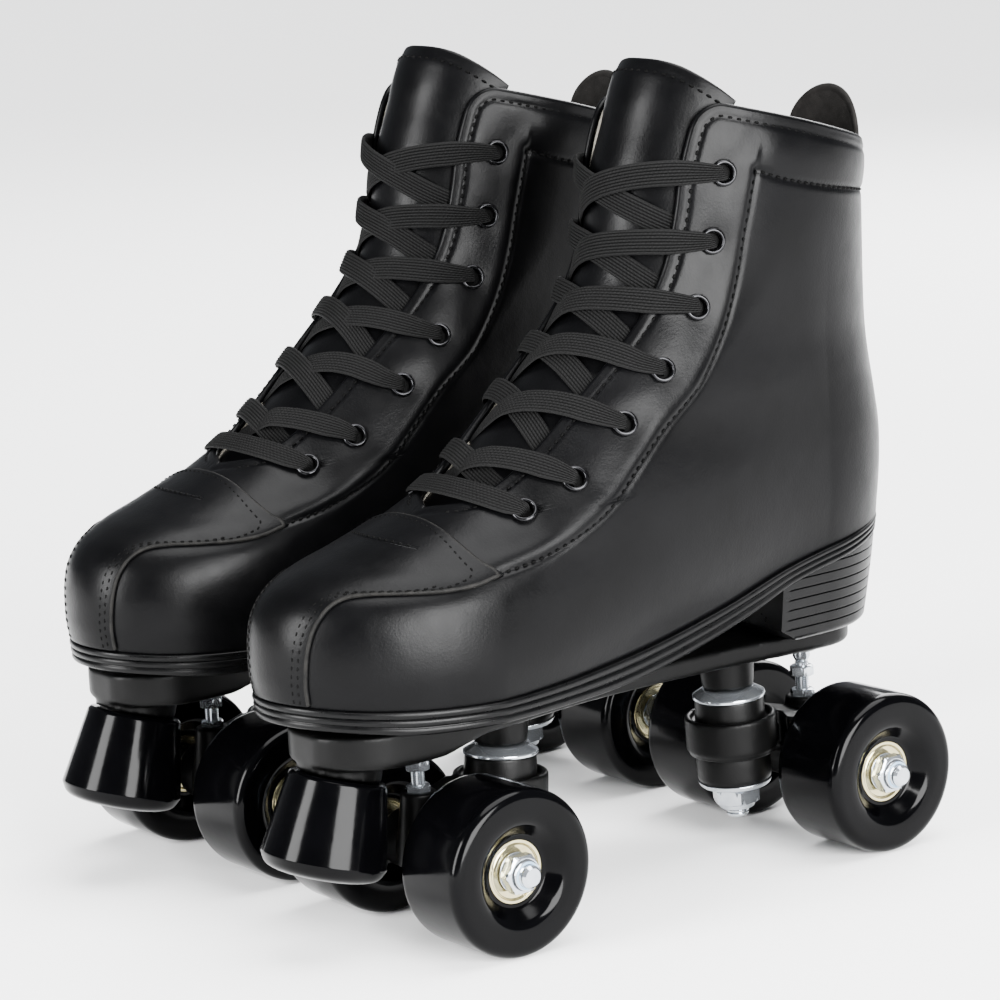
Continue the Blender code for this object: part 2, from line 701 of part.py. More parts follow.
def wheel(name, truck, side):
    """A solid wheel with a dished face and a bore for its bearings. One flat of its
    tread faces the floor."""
    tread = WHEEL_DIAMETER / 2 / math.cos(math.pi / WHEEL_SIDES)
    half = WHEEL_WIDTH / 2
    seat = BEARING_RADIUS + 2 * FIT_GAP
    lip = BEARING_OUTER_FACE + 0.2
    quarter = ((seat, lip), (18.8, half), (tread - 4.0, half), (tread, half - 6.0))
    profile = list(quarter) + [(r, -h) for r, h in quarter[::-1]]
    frame = sideways(side * TRACK / 2, truck_y(truck, 0), AXLE_HEIGHT)
    return turned(name, profile, WHEEL_SIDES, frame, wheel_plastic())


def bearings(name, truck, side):
    """The wheel's two ball bearings with the spacer tube between them."""
    hole = AXLE_RADIUS + RUNNING_GAP
    face, inner = BEARING_OUTER_FACE, BEARING_OUTER_FACE - BEARING_WIDTH
    profile = ((hole, face), (BEARING_RADIUS, face), (BEARING_RADIUS, inner), (6.2, inner),
               (6.2, -inner), (BEARING_RADIUS, -inner), (BEARING_RADIUS, -face), (hole, -face))
    frame = sideways(side * TRACK / 2, truck_y(truck, 0), AXLE_HEIGHT)
    return turned(name, profile, TRUCK_SIDES, frame, bearing_steel())


# The pair

def mirrored(made):
    """Turns an object's own shape into its mirror image across the skate's centre plane."""
    flip = Matrix.Scale(-1.0, 4, (1, 0, 0))
    if made.type == "CURVE":
        for point in made.data.splines[0].points:
            point.co.x = -point.co.x
        return
    made.data.transform(flip)
    made.data.flip_normals()


def skate(prefix, side):
    """Makes one skate at its place in the pair: side is 1 for the left and -1 for the right."""
    pieces = [(boot_upper, "upper"), (tongue, "tongue"), (lace, "lace"), (pull_tab, "pull_tab"),
              (insole, "insole"), (outsole, "outsole"), (plate, "plate"), (toe_stop, "toe_stop")]
    made = [build(prefix + label) for build, label in pieces]
    for label, truck in (("front", -1), ("rear", 1)):
        for build in (hanger, kingpin, top_washer, upper_cushion, lower_cushion, pivot_stud, axle):
            made.append(build(f"{prefix}{label}_{build.__name__}", truck))
        for place, out in (("outer", 1), ("inner", -1)):
            made.append(wheel(f"{prefix}{label}_{place}_wheel", truck, out))
            made.append(bearings(f"{prefix}{label}_{place}_bearings", truck, out))
    stand = Vector((side * SKATE_SPACING / 2, AXLE_MIDDLE_Y, 0.0)) * METRE
    for piece in made:
        if side < 0:
            mirrored(piece)
        piece.location = stand


for old in list(bpy.data.objects):
    bpy.data.objects.remove(old)
skate("left_", 1)
skate("right_", -1)
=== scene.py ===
"""The looks of a pair of black quad roller skates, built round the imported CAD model.

Lengths are in millimetres in a skate's own frame and are written to meshes in metres: x runs
sideways from the skate's centre plane, y from toe (minus) to heel (plus) with 0 midway between
its axles, and z up from the floor. Every shape is made once, for the left skate, and mirrored for
the right one. The boot's surface follows the CAD upper's to within about 4 mm, and has seams, folds
and padding.
"""

import math

import bmesh
import bpy
import numpy as np
from mathutils import Matrix, Vector


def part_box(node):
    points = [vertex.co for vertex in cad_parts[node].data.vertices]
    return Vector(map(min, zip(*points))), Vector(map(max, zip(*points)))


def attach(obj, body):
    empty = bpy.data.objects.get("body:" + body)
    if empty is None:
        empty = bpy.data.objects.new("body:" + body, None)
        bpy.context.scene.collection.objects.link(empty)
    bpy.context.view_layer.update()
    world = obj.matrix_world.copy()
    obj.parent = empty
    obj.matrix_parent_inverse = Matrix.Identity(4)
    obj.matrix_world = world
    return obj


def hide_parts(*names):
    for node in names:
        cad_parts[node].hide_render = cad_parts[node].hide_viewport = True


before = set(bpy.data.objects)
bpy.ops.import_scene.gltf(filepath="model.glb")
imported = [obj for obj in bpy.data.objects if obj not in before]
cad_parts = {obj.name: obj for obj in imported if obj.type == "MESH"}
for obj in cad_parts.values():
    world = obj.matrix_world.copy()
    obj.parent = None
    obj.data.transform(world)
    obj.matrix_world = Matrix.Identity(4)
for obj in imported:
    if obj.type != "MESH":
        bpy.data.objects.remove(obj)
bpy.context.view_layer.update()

METRE = 0.001


def box_middle(node, axis):
    """Middle of a CAD node's box along one axis, in millimetres."""
    low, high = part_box(node)
    return (low[axis] + high[axis]) / 2 / METRE


# The frame's places, in millimetres
SKATE_X = box_middle("left_front_axle", 0)
FRONT_AXLE_Y = box_middle("left_front_axle", 1)
REAR_AXLE_Y = box_middle("left_rear_axle", 1)
SKATE_Y = (FRONT_AXLE_Y + REAR_AXLE_Y) / 2
WHEELBASE = REAR_AXLE_Y - FRONT_AXLE_Y
AXLE_HEIGHT = box_middle("left_front_axle", 2)
TRACK = box_middle("left_front_outer_wheel", 0) - box_middle("left_front_inner_wheel", 0)
WHEEL_RADIUS = AXLE_HEIGHT
WHEEL_HALF_WIDTH = 16.0
BEARING_RADIUS = 11.0
BEARING_FACE = 10.8
AXLE_HALF_LENGTH = 57.0

# Chassis places, as in the CAD part
KINGPIN_INWARD = 31.0
KINGPIN_LEAN_DEG = 3.0
RING_HEIGHT_Z = 41.5
PIVOT_OUTWARD = 4.0
PIVOT_BALL_Z = 64.4
TOE_STOP_LEAN_DEG = 16.0
TOE_STOP_TOP = (-120.6, 60.6)
TOE_STOP_LENGTH = 34.0
PLATE_TOP = 78.0

# The boot's surface: a ring has a height fraction t, 0 at the sole seam and 1 at the collar
TOE_SHIFT = 5.5
SEAM_HEIGHT = ((-143, 90), (-125, 88.2), (-100, 86.9), (-70, 86.5), (-40, 88), (-8, 91.6),
               (25, 98.5), (57, 107.6), (90, 113.5), (122, 118))
FRONT_LINE = ((0.0, -142), (0.041, -143), (0.114, -141.5), (0.158, -135.5), (0.187, -125.5),
              (0.211, -113), (0.24, -98.5), (0.274, -83.5), (0.307, -71.5), (0.344, -61.5),
              (0.397, -49.5), (0.466, -36), (0.547, -21), (0.619, -11), (0.692, -4.5),
              (0.786, -0.5), (0.889, 2.5), (1.0, 9.5), (1.1, 20), (1.15, 26))
BACK_LINE = ((0.0, 118.5), (0.22, 120), (0.34, 118.5), (0.58, 115), (0.87, 114), (1.0, 115.5))
BALL_WIDTH = ((0.0, 42.5), (0.06, 44), (0.15, 42.5), (0.22, 40), (0.4, 38), (1.1, 38))
WAIST_WIDTH = ((0.0, 33.5), (0.08, 38.5), (0.16, 41), (0.28, 41.5), (0.42, 39.5), (0.6, 38.5),
               (0.8, 39.5), (1.1, 39))
HEEL_WIDTH = ((0.0, 31), (0.12, 33.5), (0.25, 34), (0.4, 33.5), (0.6, 36), (0.8, 39), (1.1, 39.5))
BALL_Y, WAIST_Y, HEEL_Y = -80.0, -5.0, 75.0
FRONT_ROUNDING = ((0.0, 62), (0.2, 62), (0.3, 52), (0.45, 50), (0.7, 56), (1.1, 54))
BACK_ROUNDING = ((0.0, 42), (0.3, 46), (0.6, 54), (1.1, 58))
THROAT_EDGE = ((0.285, 0), (0.297, 13), (0.315, 17), (0.36, 20), (0.45, 22.5), (0.6, 25),
               (0.8, 27), (1.0, 28))
EYELET_ROWS = ((0.289, 0.320), (0.333, 0.395), (0.417, 0.495), (0.503, 0.577),
               (0.612, 0.667), (0.740, 0.762), (0.877, 0.898))
EYELET_X = (30.0, 34.0, 35.0, 34.5, 33.4, 33.2, 34.2)
THROAT_BOTTOM = THROAT_EDGE[0][0]
OFF_MIDDLE = 1e-6
FLAP_THICKNESS = 2.8
TONGUE_DEPTH = 4.4


# Numbers and curves

def unit(vectors):
    return vectors / np.maximum(np.linalg.norm(vectors, axis=-1, keepdims=True), 1e-12)


def hermite(a, b, slope_a, slope_b, s):
    return ((2 * s**3 - 3 * s**2 + 1) * a + (s**3 - 2 * s**2 + s) * slope_a
            + (3 * s**2 - 2 * s**3) * b + (s**3 - s**2) * slope_b)


def smooth(knots, x):
    """Values at x of a cubic curve through knots, held level past its ends."""
    at, value = np.array(knots, float).T
    last = len(at) - 1
    before = np.maximum(np.arange(last + 1) - 1, 0)
    after = np.minimum(np.arange(last + 1) + 1, last)
    slope = (value[after] - value[before]) / (at[after] - at[before])
    x = np.clip(x, at[0], at[-1])
    i = np.clip(np.searchsorted(at, x, "right") - 1, 0, last - 1)
    span = at[i + 1] - at[i]
    return hermite(value[i], value[i + 1], slope[i] * span, slope[i + 1] * span, (x - at[i]) / span)


def step(low, high, x):
    """0 below low, 1 above high and smooth between."""
    s = np.clip((x - low) / (high - low), 0.0, 1.0)
    return s * s * (3 - 2 * s)


def hump(distance, width):
    """1 at no distance, falling like a bell of that width."""
    return np.exp(-(distance / width) ** 2)


def through(points, spacing):
    """Points along a smooth curve through the given ones, evenly spaced."""
    points = np.array(points, float)
    ends = np.vstack([2 * points[0] - points[1], points, 2 * points[-1] - points[-2]])
    fine = []
    for k in range(1, len(ends) - 2):
        s = np.linspace(0, 1, 16, endpoint=False)[:, None]
        a, b = (ends[k + 1] - ends[k - 1]) / 2, (ends[k + 2] - ends[k]) / 2
        fine.append(hermite(ends[k], ends[k + 1], a, b, s))
    fine = np.vstack([*fine, points[-1:]])
    length = np.r_[0, np.cumsum(np.linalg.norm(np.diff(fine[:, :3], axis=0), axis=1))]
    at = np.linspace(0, length[-1], max(int(length[-1] / spacing), 2) + 1)
    return np.stack([np.interp(at, length, column) for column in fine.T], -1)


def distance_to(points, line):
    """Distance from each point to the nearest point of a dense line."""
    flat = points.reshape(-1, 3)
    near = np.empty(len(flat))
    for k in range(0, len(flat), 8000):
        block = flat[k:k + 8000, None, :] - line[None, :, :]
        near[k:k + 8000] = np.sqrt((block ** 2).sum(-1).min(1))
    return near.reshape(points.shape[:-1])


# The boot's surface

def collar_height(y):
    return 272.5 - 0.2216 * (y - 21.0)


def toe_offset(y):
    """How far the foot's centre line swings inward towards the toe."""
    return -TOE_SHIFT * np.maximum(0.0, (-45.0 - y) / 98.0) ** 1.6


def rounded(distance, length):
    """0 at a tip, rising like a quarter circle to 1 at length from it."""
    u = np.clip(distance / length, 0.0, 1.0)
    return np.sqrt(1.0 - (1.0 - u) ** 2)


def half_width(t, y):
    ball, waist, heel = smooth(BALL_WIDTH, t), smooth(WAIST_WIDTH, t), smooth(HEEL_WIDTH, t)
    held = np.clip(y, BALL_Y, HEEL_Y)
    ahead = held < WAIST_Y
    start = np.where(ahead, BALL_Y, WAIST_Y)
    span = np.where(ahead, WAIST_Y - BALL_Y, HEEL_Y - WAIST_Y)
    slope_front = (waist - ball) / (WAIST_Y - BALL_Y)
    slope_middle = (heel - ball) / (HEEL_Y - BALL_Y)
    slope_back = (heel - waist) / (HEEL_Y - WAIST_Y)
    width = hermite(np.where(ahead, ball, waist), np.where(ahead, waist, heel),
                    np.where(ahead, slope_front, slope_middle) * span,
                    np.where(ahead, slope_middle, slope_back) * span, (held - start) / span)
    front = rounded(y - smooth(FRONT_LINE, t), smooth(FRONT_ROUNDING, t))
    back = rounded(smooth(BACK_LINE, t) - y, smooth(BACK_ROUNDING, t))
    return width * front * back


def boot_point(t, turn):
    """Points on the boot's outside: turn is 0 at the front, positive on the skate's +x side
    and pi at the back."""
    front, back = smooth(FRONT_LINE, t), smooth(BACK_LINE, t)
    y = (front + back) / 2 - (back - front) / 2 * np.cos(turn)
    seam = smooth(SEAM_HEIGHT, y)
    z = seam + (collar_height(y) - seam) * t
    x = toe_offset(y) + np.sign(np.sin(turn)) * half_width(t, y)
    return np.stack([x, y, z], -1)


def boot_normal(t, turn):
    reach = 0.006
    along = boot_point(t + reach, turn) - boot_point(t - reach, turn)
    around = boot_point(t, turn + reach) - boot_point(t, turn - reach)
    return unit(np.cross(around, along))


def over_boot(t, turn, lift):
    """Points above the boot's outside by lift, or under it where lift is negative."""
    t, turn, lift = np.broadcast_arrays(np.asarray(t, float), turn, lift)
    return boot_point(t, turn) + boot_normal(t, turn) * lift[..., None]


def turn_at(t, x):
    """The turn at which a ring is x away from the boot's centre line, on its front half."""
    t, x = np.broadcast_arrays(np.asarray(t, float), np.asarray(x, float))
    low, high = np.zeros(t.shape), np.full(t.shape, math.pi / 2)
    front, back = smooth(FRONT_LINE, t), smooth(BACK_LINE, t)
    for _ in range(30):
        middle = (low + high) / 2
        y = (front + back) / 2 - (back - front) / 2 * np.cos(middle)
        narrow = half_width(t, y) < np.abs(x)
        low, high = np.where(narrow, middle, low), np.where(narrow, high, middle)
    return np.sign(x) * (low + high) / 2


def turn_at_y(t, y):
    """The turn at which a ring reaches y."""
    front, back = smooth(FRONT_LINE, t), smooth(BACK_LINE, t)
    return np.arccos(np.clip(((front + back) / 2 - y) / ((back - front) / 2), -1, 1))


# Building blocks

def grid_faces(rows, columns, start=0, closed=False):
    """Quads between the points of a grid stored row by row; closed joins each row's ends."""
    index = start + np.arange(rows * columns).reshape(rows, columns)
    if closed:
        index = np.hstack([index, index[:, :1]])
    quads = np.stack([index[:-1, :-1], index[:-1, 1:], index[1:, 1:], index[1:, :-1]], -1)
    return quads.reshape(-1, 4).tolist()


def joined(shapes):
    """One shape, of points and faces, from several."""
    verts, faces = [], []
    start = 0
    for points, polygons in shapes:
        verts.append(np.asarray(points, float).reshape(-1, 3))
        faces += [[start + k for k in polygon] for polygon in polygons]
        start += len(verts[-1])
    return np.vstack(verts), faces


def moved(shape, matrix):
    verts, faces = shape
    m = np.array(matrix)
    return np.asarray(verts) @ m[:3, :3].T + m[:3, 3], faces


def flipped(shape, axis):
    """A shape's mirror image along one axis, facing out again."""
    verts, faces = shape
    verts = np.array(verts, float)
    verts[:, axis] *= -1
    return verts, [polygon[::-1] for polygon in faces]


def tube(loops, capped=True):
    """A skin through closed loops of the same number of points."""
    loops = np.asarray(loops, float)
    rows, columns = loops.shape[:2]
    faces = grid_faces(rows, columns, closed=True)
    if capped:
        faces.append(list(range(columns))[::-1])
        faces.append([(rows - 1) * columns + k for k in range(columns)])
    return loops.reshape(-1, 3), faces


def filleted(corners, steps=5):
    """A profile's corners (radius, height, fillet) with each fillet drawn as a short curve."""
    points = []
    count = len(corners)
    for k, (r, h, fillet) in enumerate(corners):
        here = np.array([r, h], float)
        if not fillet:
            points.append(here)
            continue
        before = np.array(corners[(k - 1) % count][:2], float) - here
        after = np.array(corners[(k + 1) % count][:2], float) - here
        reach = min(fillet, 0.48 * np.linalg.norm(before), 0.48 * np.linalg.norm(after))
        start = here + before / np.linalg.norm(before) * reach
        end = here + after / np.linalg.norm(after) * reach
        for s in np.linspace(0, 1, steps + 1):
            points.append((1 - s) ** 2 * start + 2 * s * (1 - s) * here + s**2 * end)
    return np.array(points)


def turned(corners, sides=64, steps=5, ring=True):
    """A solid turned about Z from the corners (radius, height, fillet) of its half section,
    listed with the outside going up. A ring's section is closed; otherwise it ends on the axis."""
    profile = filleted(corners, steps)
    angle = 2 * math.pi * np.arange(sides) / sides
    loops = np.stack([profile[:, 0, None] * np.cos(angle), profile[:, 0, None] * np.sin(angle),
                      np.repeat(profile[:, 1, None], sides, 1)], -1)
    if ring:
        loops = np.concatenate([loops, loops[:1]])
    return tube(loops, capped=not ring)


def threads(radius, low, high, pitch, depth, chamfer):
    """Corners of a threaded rod's outside between two heights, as rings of thread."""
    corners = [(radius - chamfer, low, 0), (radius, low + chamfer, 0)]
    count = int((high - low - 2 * chamfer) / pitch)
    for k in range(count):
        at = low + chamfer + k * pitch
        corners += [(radius, at + 0.25 * pitch, 0), (radius - depth, at + 0.5 * pitch, 0),
                    (radius, at + 0.85 * pitch, 0)]
    return corners + [(radius, high - chamfer, 0), (radius - chamfer, high, 0)]


def hex_nut(across, low, high, hole, crown=0.0):
    """A hexagon nut between two heights, its corners cut by the usual cones, and with a round
    crown of that height on its upper face."""
    sides = 96
    angle = 2 * math.pi * np.arange(sides) / sides
    flat = across / 2 / np.cos((angle + math.pi / 6) % (math.pi / 3) - math.pi / 6)
    corner, cut = across / math.sqrt(3), 0.13 * across
    loops = []
    for share in (0.0, 0.04, 0.09, 0.15, 0.5, 0.85, 0.91, 0.96, 1.0):
        reach = corner - cut + cut * min(1.0, min(share, 1 - share) / 0.15)
        loops.append((np.minimum(flat, reach), low + (high - low) * share))
    if crown:
        for radius, rise in ((0.86, 0.0), (0.84, 0.5), (0.8, 0.85), (0.72, 1.0)):
            loops.append((np.full(sides, across / 2 * radius), high + crown * rise))
    loops += [(np.full(sides, hole), high + crown), (np.full(sides, hole), low)]
    rings = [np.stack([r * np.cos(angle), r * np.sin(angle), np.full(sides, h)], -1)
             for r, h in loops]
    return tube(rings + rings[:1], capped=False)


def sheet_solid(outer, inner):
    """A closed solid between two grids of points, with rounded edges."""
    rows, columns = outer.shape[:2]
    index = np.arange(rows * columns).reshape(rows, columns)
    rim = np.r_[index[0, :-1], index[:-1, -1], index[-1, :0:-1], index[:0:-1, 0]]
    inside = np.clip(index // columns, 1, rows - 2) * columns + np.clip(index % columns, 1, columns - 2)
    inside = np.r_[inside[0, :-1], inside[:-1, -1], inside[-1, :0:-1], inside[:0:-1, 0]]
    flat_outer, flat_inner = outer.reshape(-1, 3), inner.reshape(-1, 3)
    middle = (flat_outer[rim] + flat_inner[rim]) / 2
    out = unit((flat_outer[rim] - flat_outer[inside]) + (flat_inner[rim] - flat_inner[inside]))
    half = (flat_outer[rim] - flat_inner[rim]) / 2
    reach = np.linalg.norm(half, axis=1, keepdims=True)
    loops = [middle + half * math.cos(a) + out * reach * math.sin(a)
             for a in np.radians([30, 60, 90, 120, 150])]
    verts = np.vstack([flat_outer, flat_inner, *loops])
    total, count = rows * columns, len(rim)
    faces = grid_faces(rows, columns)
    faces += [face[::-1] for face in grid_faces(rows, columns, total)]
    ladder = [rim] + [2 * total + k * count + np.arange(count) for k in range(5)] + [total + rim]
    for low, high in zip(ladder, ladder[1:]):
        after_low, after_high = np.roll(low, -1), np.roll(high, -1)
        faces += np.stack([low, high, after_high, after_low], -1).tolist()
    return verts, faces


def moulded(shapes, voxel, smoothing):
    """One skin round overlapping solids with softened corners, as a moulding has."""
    verts, faces = joined(shapes)
    mesh = bpy.data.meshes.new("mould")
    mesh.from_pydata(verts.tolist(), [], faces)
    made = bpy.data.objects.new("mould", mesh)
    bpy.context.scene.collection.objects.link(made)
    remesh = made.modifiers.new("skin", "REMESH")
    remesh.mode = "VOXEL"
    remesh.voxel_size = voxel
    soften = made.modifiers.new("soften", "SMOOTH")
    soften.iterations = smoothing
    evaluated = made.evaluated_get(bpy.context.evaluated_depsgraph_get())
    result = bpy.data.meshes.new_from_object(evaluated)
    points = np.empty(len(result.vertices) * 3)
    result.vertices.foreach_get("co", points)
    polygons = [list(polygon.vertices) for polygon in result.polygons]
    bpy.data.objects.remove(made)
    bpy.data.meshes.remove(result)
    return points.reshape(-1, 3), polygons


def stitches(line, out, length, gap, radius):
    """A row of stitches along a line: short threads whose ends dip under the surface."""
    per = 12
    path = through(np.hstack([line, out]), (length + gap) / per)
    shapes = []
    ring = 2 * math.pi * np.arange(6) / 6
    stretch = int(per * length / (length + gap))
    for first in range(0, len(path) - stretch, per):
        piece = path[first:first + stretch + 1:max(stretch // 4, 1)]
        points, normals = piece[:, :3], unit(piece[:, 3:])
        along = unit(np.gradient(points, axis=0))
        side = unit(np.cross(along, normals))
        share = np.linspace(-1, 1, len(piece))
        size = radius * np.sqrt(np.maximum(1 - share**6, 0.04))
        rise = radius * (0.55 - 1.6 * share**4)
        centre = points + normals * rise[:, None]
        loops = (centre[:, None] + size[:, None, None]
                 * (side[:, None] * np.cos(ring)[None, :, None]
                    + normals[:, None] * np.sin(ring)[None, :, None]))
        shapes.append(tube(loops))
    return joined(shapes)


# Materials

NOISE, CELLS = "ShaderNodeTexNoise", "ShaderNodeTexVoronoi"


def coordinates(made):
    """The material's one coordinate node, made when it is first asked for."""
    nodes = made.node_tree.nodes
    place = nodes.get("Place") or nodes.new("ShaderNodeTexCoord")
    place.name = "Place"
    return place


def texture(made, kind, scale, detail=2.0):
    """A noise or cell texture in the object's own space; scale is in cells for each metre."""
    node = made.node_tree.nodes.new(kind)
    node.inputs["Scale"].default_value = scale
    if "Detail" in node.inputs:
        node.inputs["Detail"].default_value = detail
    made.node_tree.links.new(coordinates(made).outputs["Object"], node.inputs["Vector"])
    return node.outputs["Distance" if kind == CELLS else "Fac"]


def spread(made, source, low, high):
    """A value from low to high as the source goes from its usual least to its usual most."""
    node = made.node_tree.nodes.new("ShaderNodeMapRange")
    node.inputs["From Min"].default_value = 0.3
    node.inputs["From Max"].default_value = 0.7
    node.inputs["To Min"].default_value = low
    node.inputs["To Max"].default_value = high
    made.node_tree.links.new(source, node.inputs["Value"])
    return node.outputs["Result"]


def relief(made, layers):
    """Bumps the surface by layers of (texture output, height in metres)."""
    previous = None
    for source, height in layers:
        node = made.node_tree.nodes.new("ShaderNodeBump")
        node.inputs["Strength"].default_value = 1.0
        node.inputs["Distance"].default_value = height
        made.node_tree.links.new(source, node.inputs["Height"])
        if previous:
            made.node_tree.links.new(previous, node.inputs["Normal"])
        previous = node.outputs["Normal"]
    shader = made.node_tree.nodes["Principled BSDF"]
    made.node_tree.links.new(previous, shader.inputs["Normal"])


def tinted(made, source, dark, light, reach=(0.3, 0.7)):
    """Varies the base colour between two as a texture goes from one value to another."""
    node = made.node_tree.nodes.new("ShaderNodeValToRGB")
    node.color_ramp.elements[0].position, node.color_ramp.elements[1].position = reach
    node.color_ramp.elements[0].color = (*dark, 1.0)
    node.color_ramp.elements[1].color = (*light, 1.0)
    made.node_tree.links.new(source, node.inputs["Fac"])
    shader = made.node_tree.nodes["Principled BSDF"]
    made.node_tree.links.new(node.outputs["Color"], shader.inputs["Base Color"])


def material(name, colours, roughness, patch, grain, sockets):
    """A material with its colour and roughness varied by a patch scale, and grain layers of
    (texture kind, scale, height). sockets are the shader's other settings."""
    made = bpy.data.materials.new(name)
    made.use_nodes = True
    shader = made.node_tree.nodes["Principled BSDF"]
    for socket, value in sockets.items():
        shader.inputs[socket].default_value = value
    tinted(made, texture(made, NOISE, patch, 3.0), *colours)
    rough = spread(made, texture(made, NOISE, patch * 3.1, 4.0), *roughness)
    made.node_tree.links.new(rough, shader.inputs["Roughness"])
    relief(made, [(texture(made, kind, scale, 3.0), height) for kind, scale, height in grain])
    return made


LEATHER = material("black_leather", ((0.0006, 0.0006, 0.0007), (0.0012, 0.0012, 0.0014)), (0.28, 0.36), 40,
                   ((CELLS, 1100, 0.00002), (NOISE, 2600, 0.00002), (NOISE, 90, 0.00016)),
                   {"Specular IOR Level": 0.068})
RAW_EDGE = material("leather_edge", ((0.0015, 0.0015, 0.0014), (0.007, 0.0066, 0.006)), (0.5, 0.7), 260,
                    ((NOISE, 1500, 0.0002),), {"Specular IOR Level": 0.1})
THREAD = material("black_thread", ((0.0004, 0.0004, 0.0004), (0.001, 0.001, 0.001)), (0.5, 0.65), 600,
                  ((NOISE, 3000, 0.0001),), {"Specular IOR Level": 0.04})
EYELET_METAL = material("black_nickel", ((0.008, 0.008, 0.009), (0.016, 0.016, 0.017)), (0.12, 0.2), 200,
                        ((NOISE, 900, 0.00002),), {"Metallic": 0.9})
LACE_WEAVE = material("lace_weave", ((0.0008, 0.0008, 0.0007), (0.0085, 0.0083, 0.0078)), (0.6, 0.8), 700,
                      ((NOISE, 3000, 0.00006),), {"Specular IOR Level": 0.06})
# Painted shade: the lace's base colour is darker where its surface is hollow (low pointiness), in the
# grooves between its cords.
tinted(LACE_WEAVE, LACE_WEAVE.node_tree.nodes.new("ShaderNodeNewGeometry").outputs["Pointiness"],
       (0.0004, 0.0004, 0.0004), (0.0055, 0.0055, 0.0055), (0.44, 0.58))
SUEDE = material("grey_suede", ((0.004, 0.0036, 0.0033), (0.009, 0.0083, 0.0077)), (0.8, 0.95), 250,
                 ((NOISE, 2200, 0.0002),), {"Specular IOR Level": 0.1, "Sheen Weight": 0.01})
LINING = material("cream_lining", ((0.12, 0.11, 0.09), (0.2, 0.185, 0.155)), (0.8, 0.95), 150,
                  ((NOISE, 1500, 0.0002), (CELLS, 1400, 0.0001)), {"Sheen Weight": 0.1})
DARK_LINING = material("dark_lining", ((0.003, 0.003, 0.0033), (0.006, 0.006, 0.0064)), (0.8, 0.95), 150,
                       ((NOISE, 1500, 0.0002), (CELLS, 1400, 0.0001)), {"Sheen Weight": 0.1})
SOLE_RUBBER = material("sole_rubber", ((0.0006, 0.0006, 0.0007), (0.0012, 0.0012, 0.0013)), (0.26, 0.36), 60,
                       ((NOISE, 1800, 0.00004),), {"Specular IOR Level": 0.1})
PLATE_PLASTIC = material("plate_plastic", ((0.0006, 0.0006, 0.0006), (0.0012, 0.0012, 0.0012)),
                         (0.32, 0.44), 50, ((NOISE, 2400, 0.00004), (NOISE, 90, 0.00012)),
                         {"Specular IOR Level": 0.08})
CUSHION_RUBBER = material("cushion_rubber", ((0.0006, 0.0006, 0.0006), (0.0012, 0.0012, 0.0012)),
                          (0.32, 0.42), 90, ((NOISE, 1500, 0.00005),), {"Specular IOR Level": 0.1})
URETHANE = material("black_urethane", ((0.0003, 0.0003, 0.0004), (0.0007, 0.0007, 0.0009)), (0.1, 0.16), 45,
                    ((NOISE, 60, 0.00012),), {"Specular IOR Level": 0.065})
ZINC = material("bright_zinc", ((0.42, 0.45, 0.49), (0.52, 0.55, 0.58)), (0.11, 0.18), 220,
                ((NOISE, 900, 0.000004),), {"Metallic": 0.92})
BEARING_STEEL = material("gold_zinc", ((0.42, 0.37, 0.2), (0.54, 0.49, 0.31)), (0.12, 0.2), 160,
                         ((NOISE, 900, 0.000004),), {"Metallic": 0.94})
NYLON = material("pale_nylon", ((0.2, 0.3, 0.42), (0.3, 0.4, 0.5)), (0.3, 0.4), 200,
                 ((NOISE, 1500, 0.00003),), {"Subsurface Weight": 0.1})


# Putting pieces in place

def piece(prefix, label, shape, surface, slot, body, stands_for=(), sharp_deg=40):
    """Makes a named object from a shape of the left skate, mirrored if the prefix is the right
    skate's, and lets it ride on a body of that skate."""
    side = 1 if prefix == "left_" else -1
    if side < 0:
        shape = flipped(shape, 0)
    verts, faces = shape
    place = np.array([side * SKATE_X, SKATE_Y, 0.0])
    mesh = bpy.data.meshes.new(prefix + label)
    mesh.from_pydata(((np.asarray(verts) + place) * METRE).tolist(), [], faces)
    work = bmesh.new()
    work.from_mesh(mesh)
    bmesh.ops.remove_doubles(work, verts=work.verts, dist=2e-6)
    work.to_mesh(mesh)
    work.free()
    mesh.validate()
    mesh.shade_smooth()
    mesh.set_sharp_from_angle(angle=math.radians(sharp_deg))
    mesh.materials.append(surface)
    made = bpy.data.objects.new(prefix + label, mesh)
    bpy.context.scene.collection.objects.link(made)
    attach(made, prefix + body)
    if stands_for:
        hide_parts(*(prefix + node for node in stands_for))
    return made


def both(label, shape, surface, slot, body, stands_for=(), sharp_deg=40):
    """The same piece on both skates."""
    for prefix in ("left_", "right_"):
        piece(prefix, label, shape, surface, slot, body, stands_for, sharp_deg)


# The leather upper

ROWS, COLUMNS = 290, 230
ROW_TURN = 0.5
QUARTER_SEAM = ((0.889, 41.6), (0.753, 35.8), (0.662, 32.2), (0.564, 25), (0.466, 11.9),
                (0.397, -5.5), (0.33, -20), (0.263, -36.6), (0.220, -57.7), (0.199, -78.3))
COLLAR_SEAM = ((72, 0.889), (86, 0.873), (106, 0.865), (132, 0.864), (180, 0.864))
COLLAR_BULGE = 1.1
CORNER_RADIUS = 9.5
COLLAR_RISE, COLLAR_FALL = 2.7, 6.0
BOOT_HEIGHT = 185.0
COLLAR_LENGTH = 140.0


def flap_turn(t):
    """Turn of the throat's edge on the +x side."""
    return np.where(t > THROAT_BOTTOM, turn_at(t, np.maximum(smooth(THROAT_EDGE, t), 0.01)), 0.0)


def corner_drop(share, t):
    """How far the flap's rounded top corner falls below the collar line."""
    from_edge = np.clip(CORNER_RADIUS - share * COLLAR_LENGTH, 0.0, CORNER_RADIUS)
    drop = CORNER_RADIUS - np.sqrt(CORNER_RADIUS**2 - from_edge**2)
    return drop / BOOT_HEIGHT * step(0.7, 1.0, t)


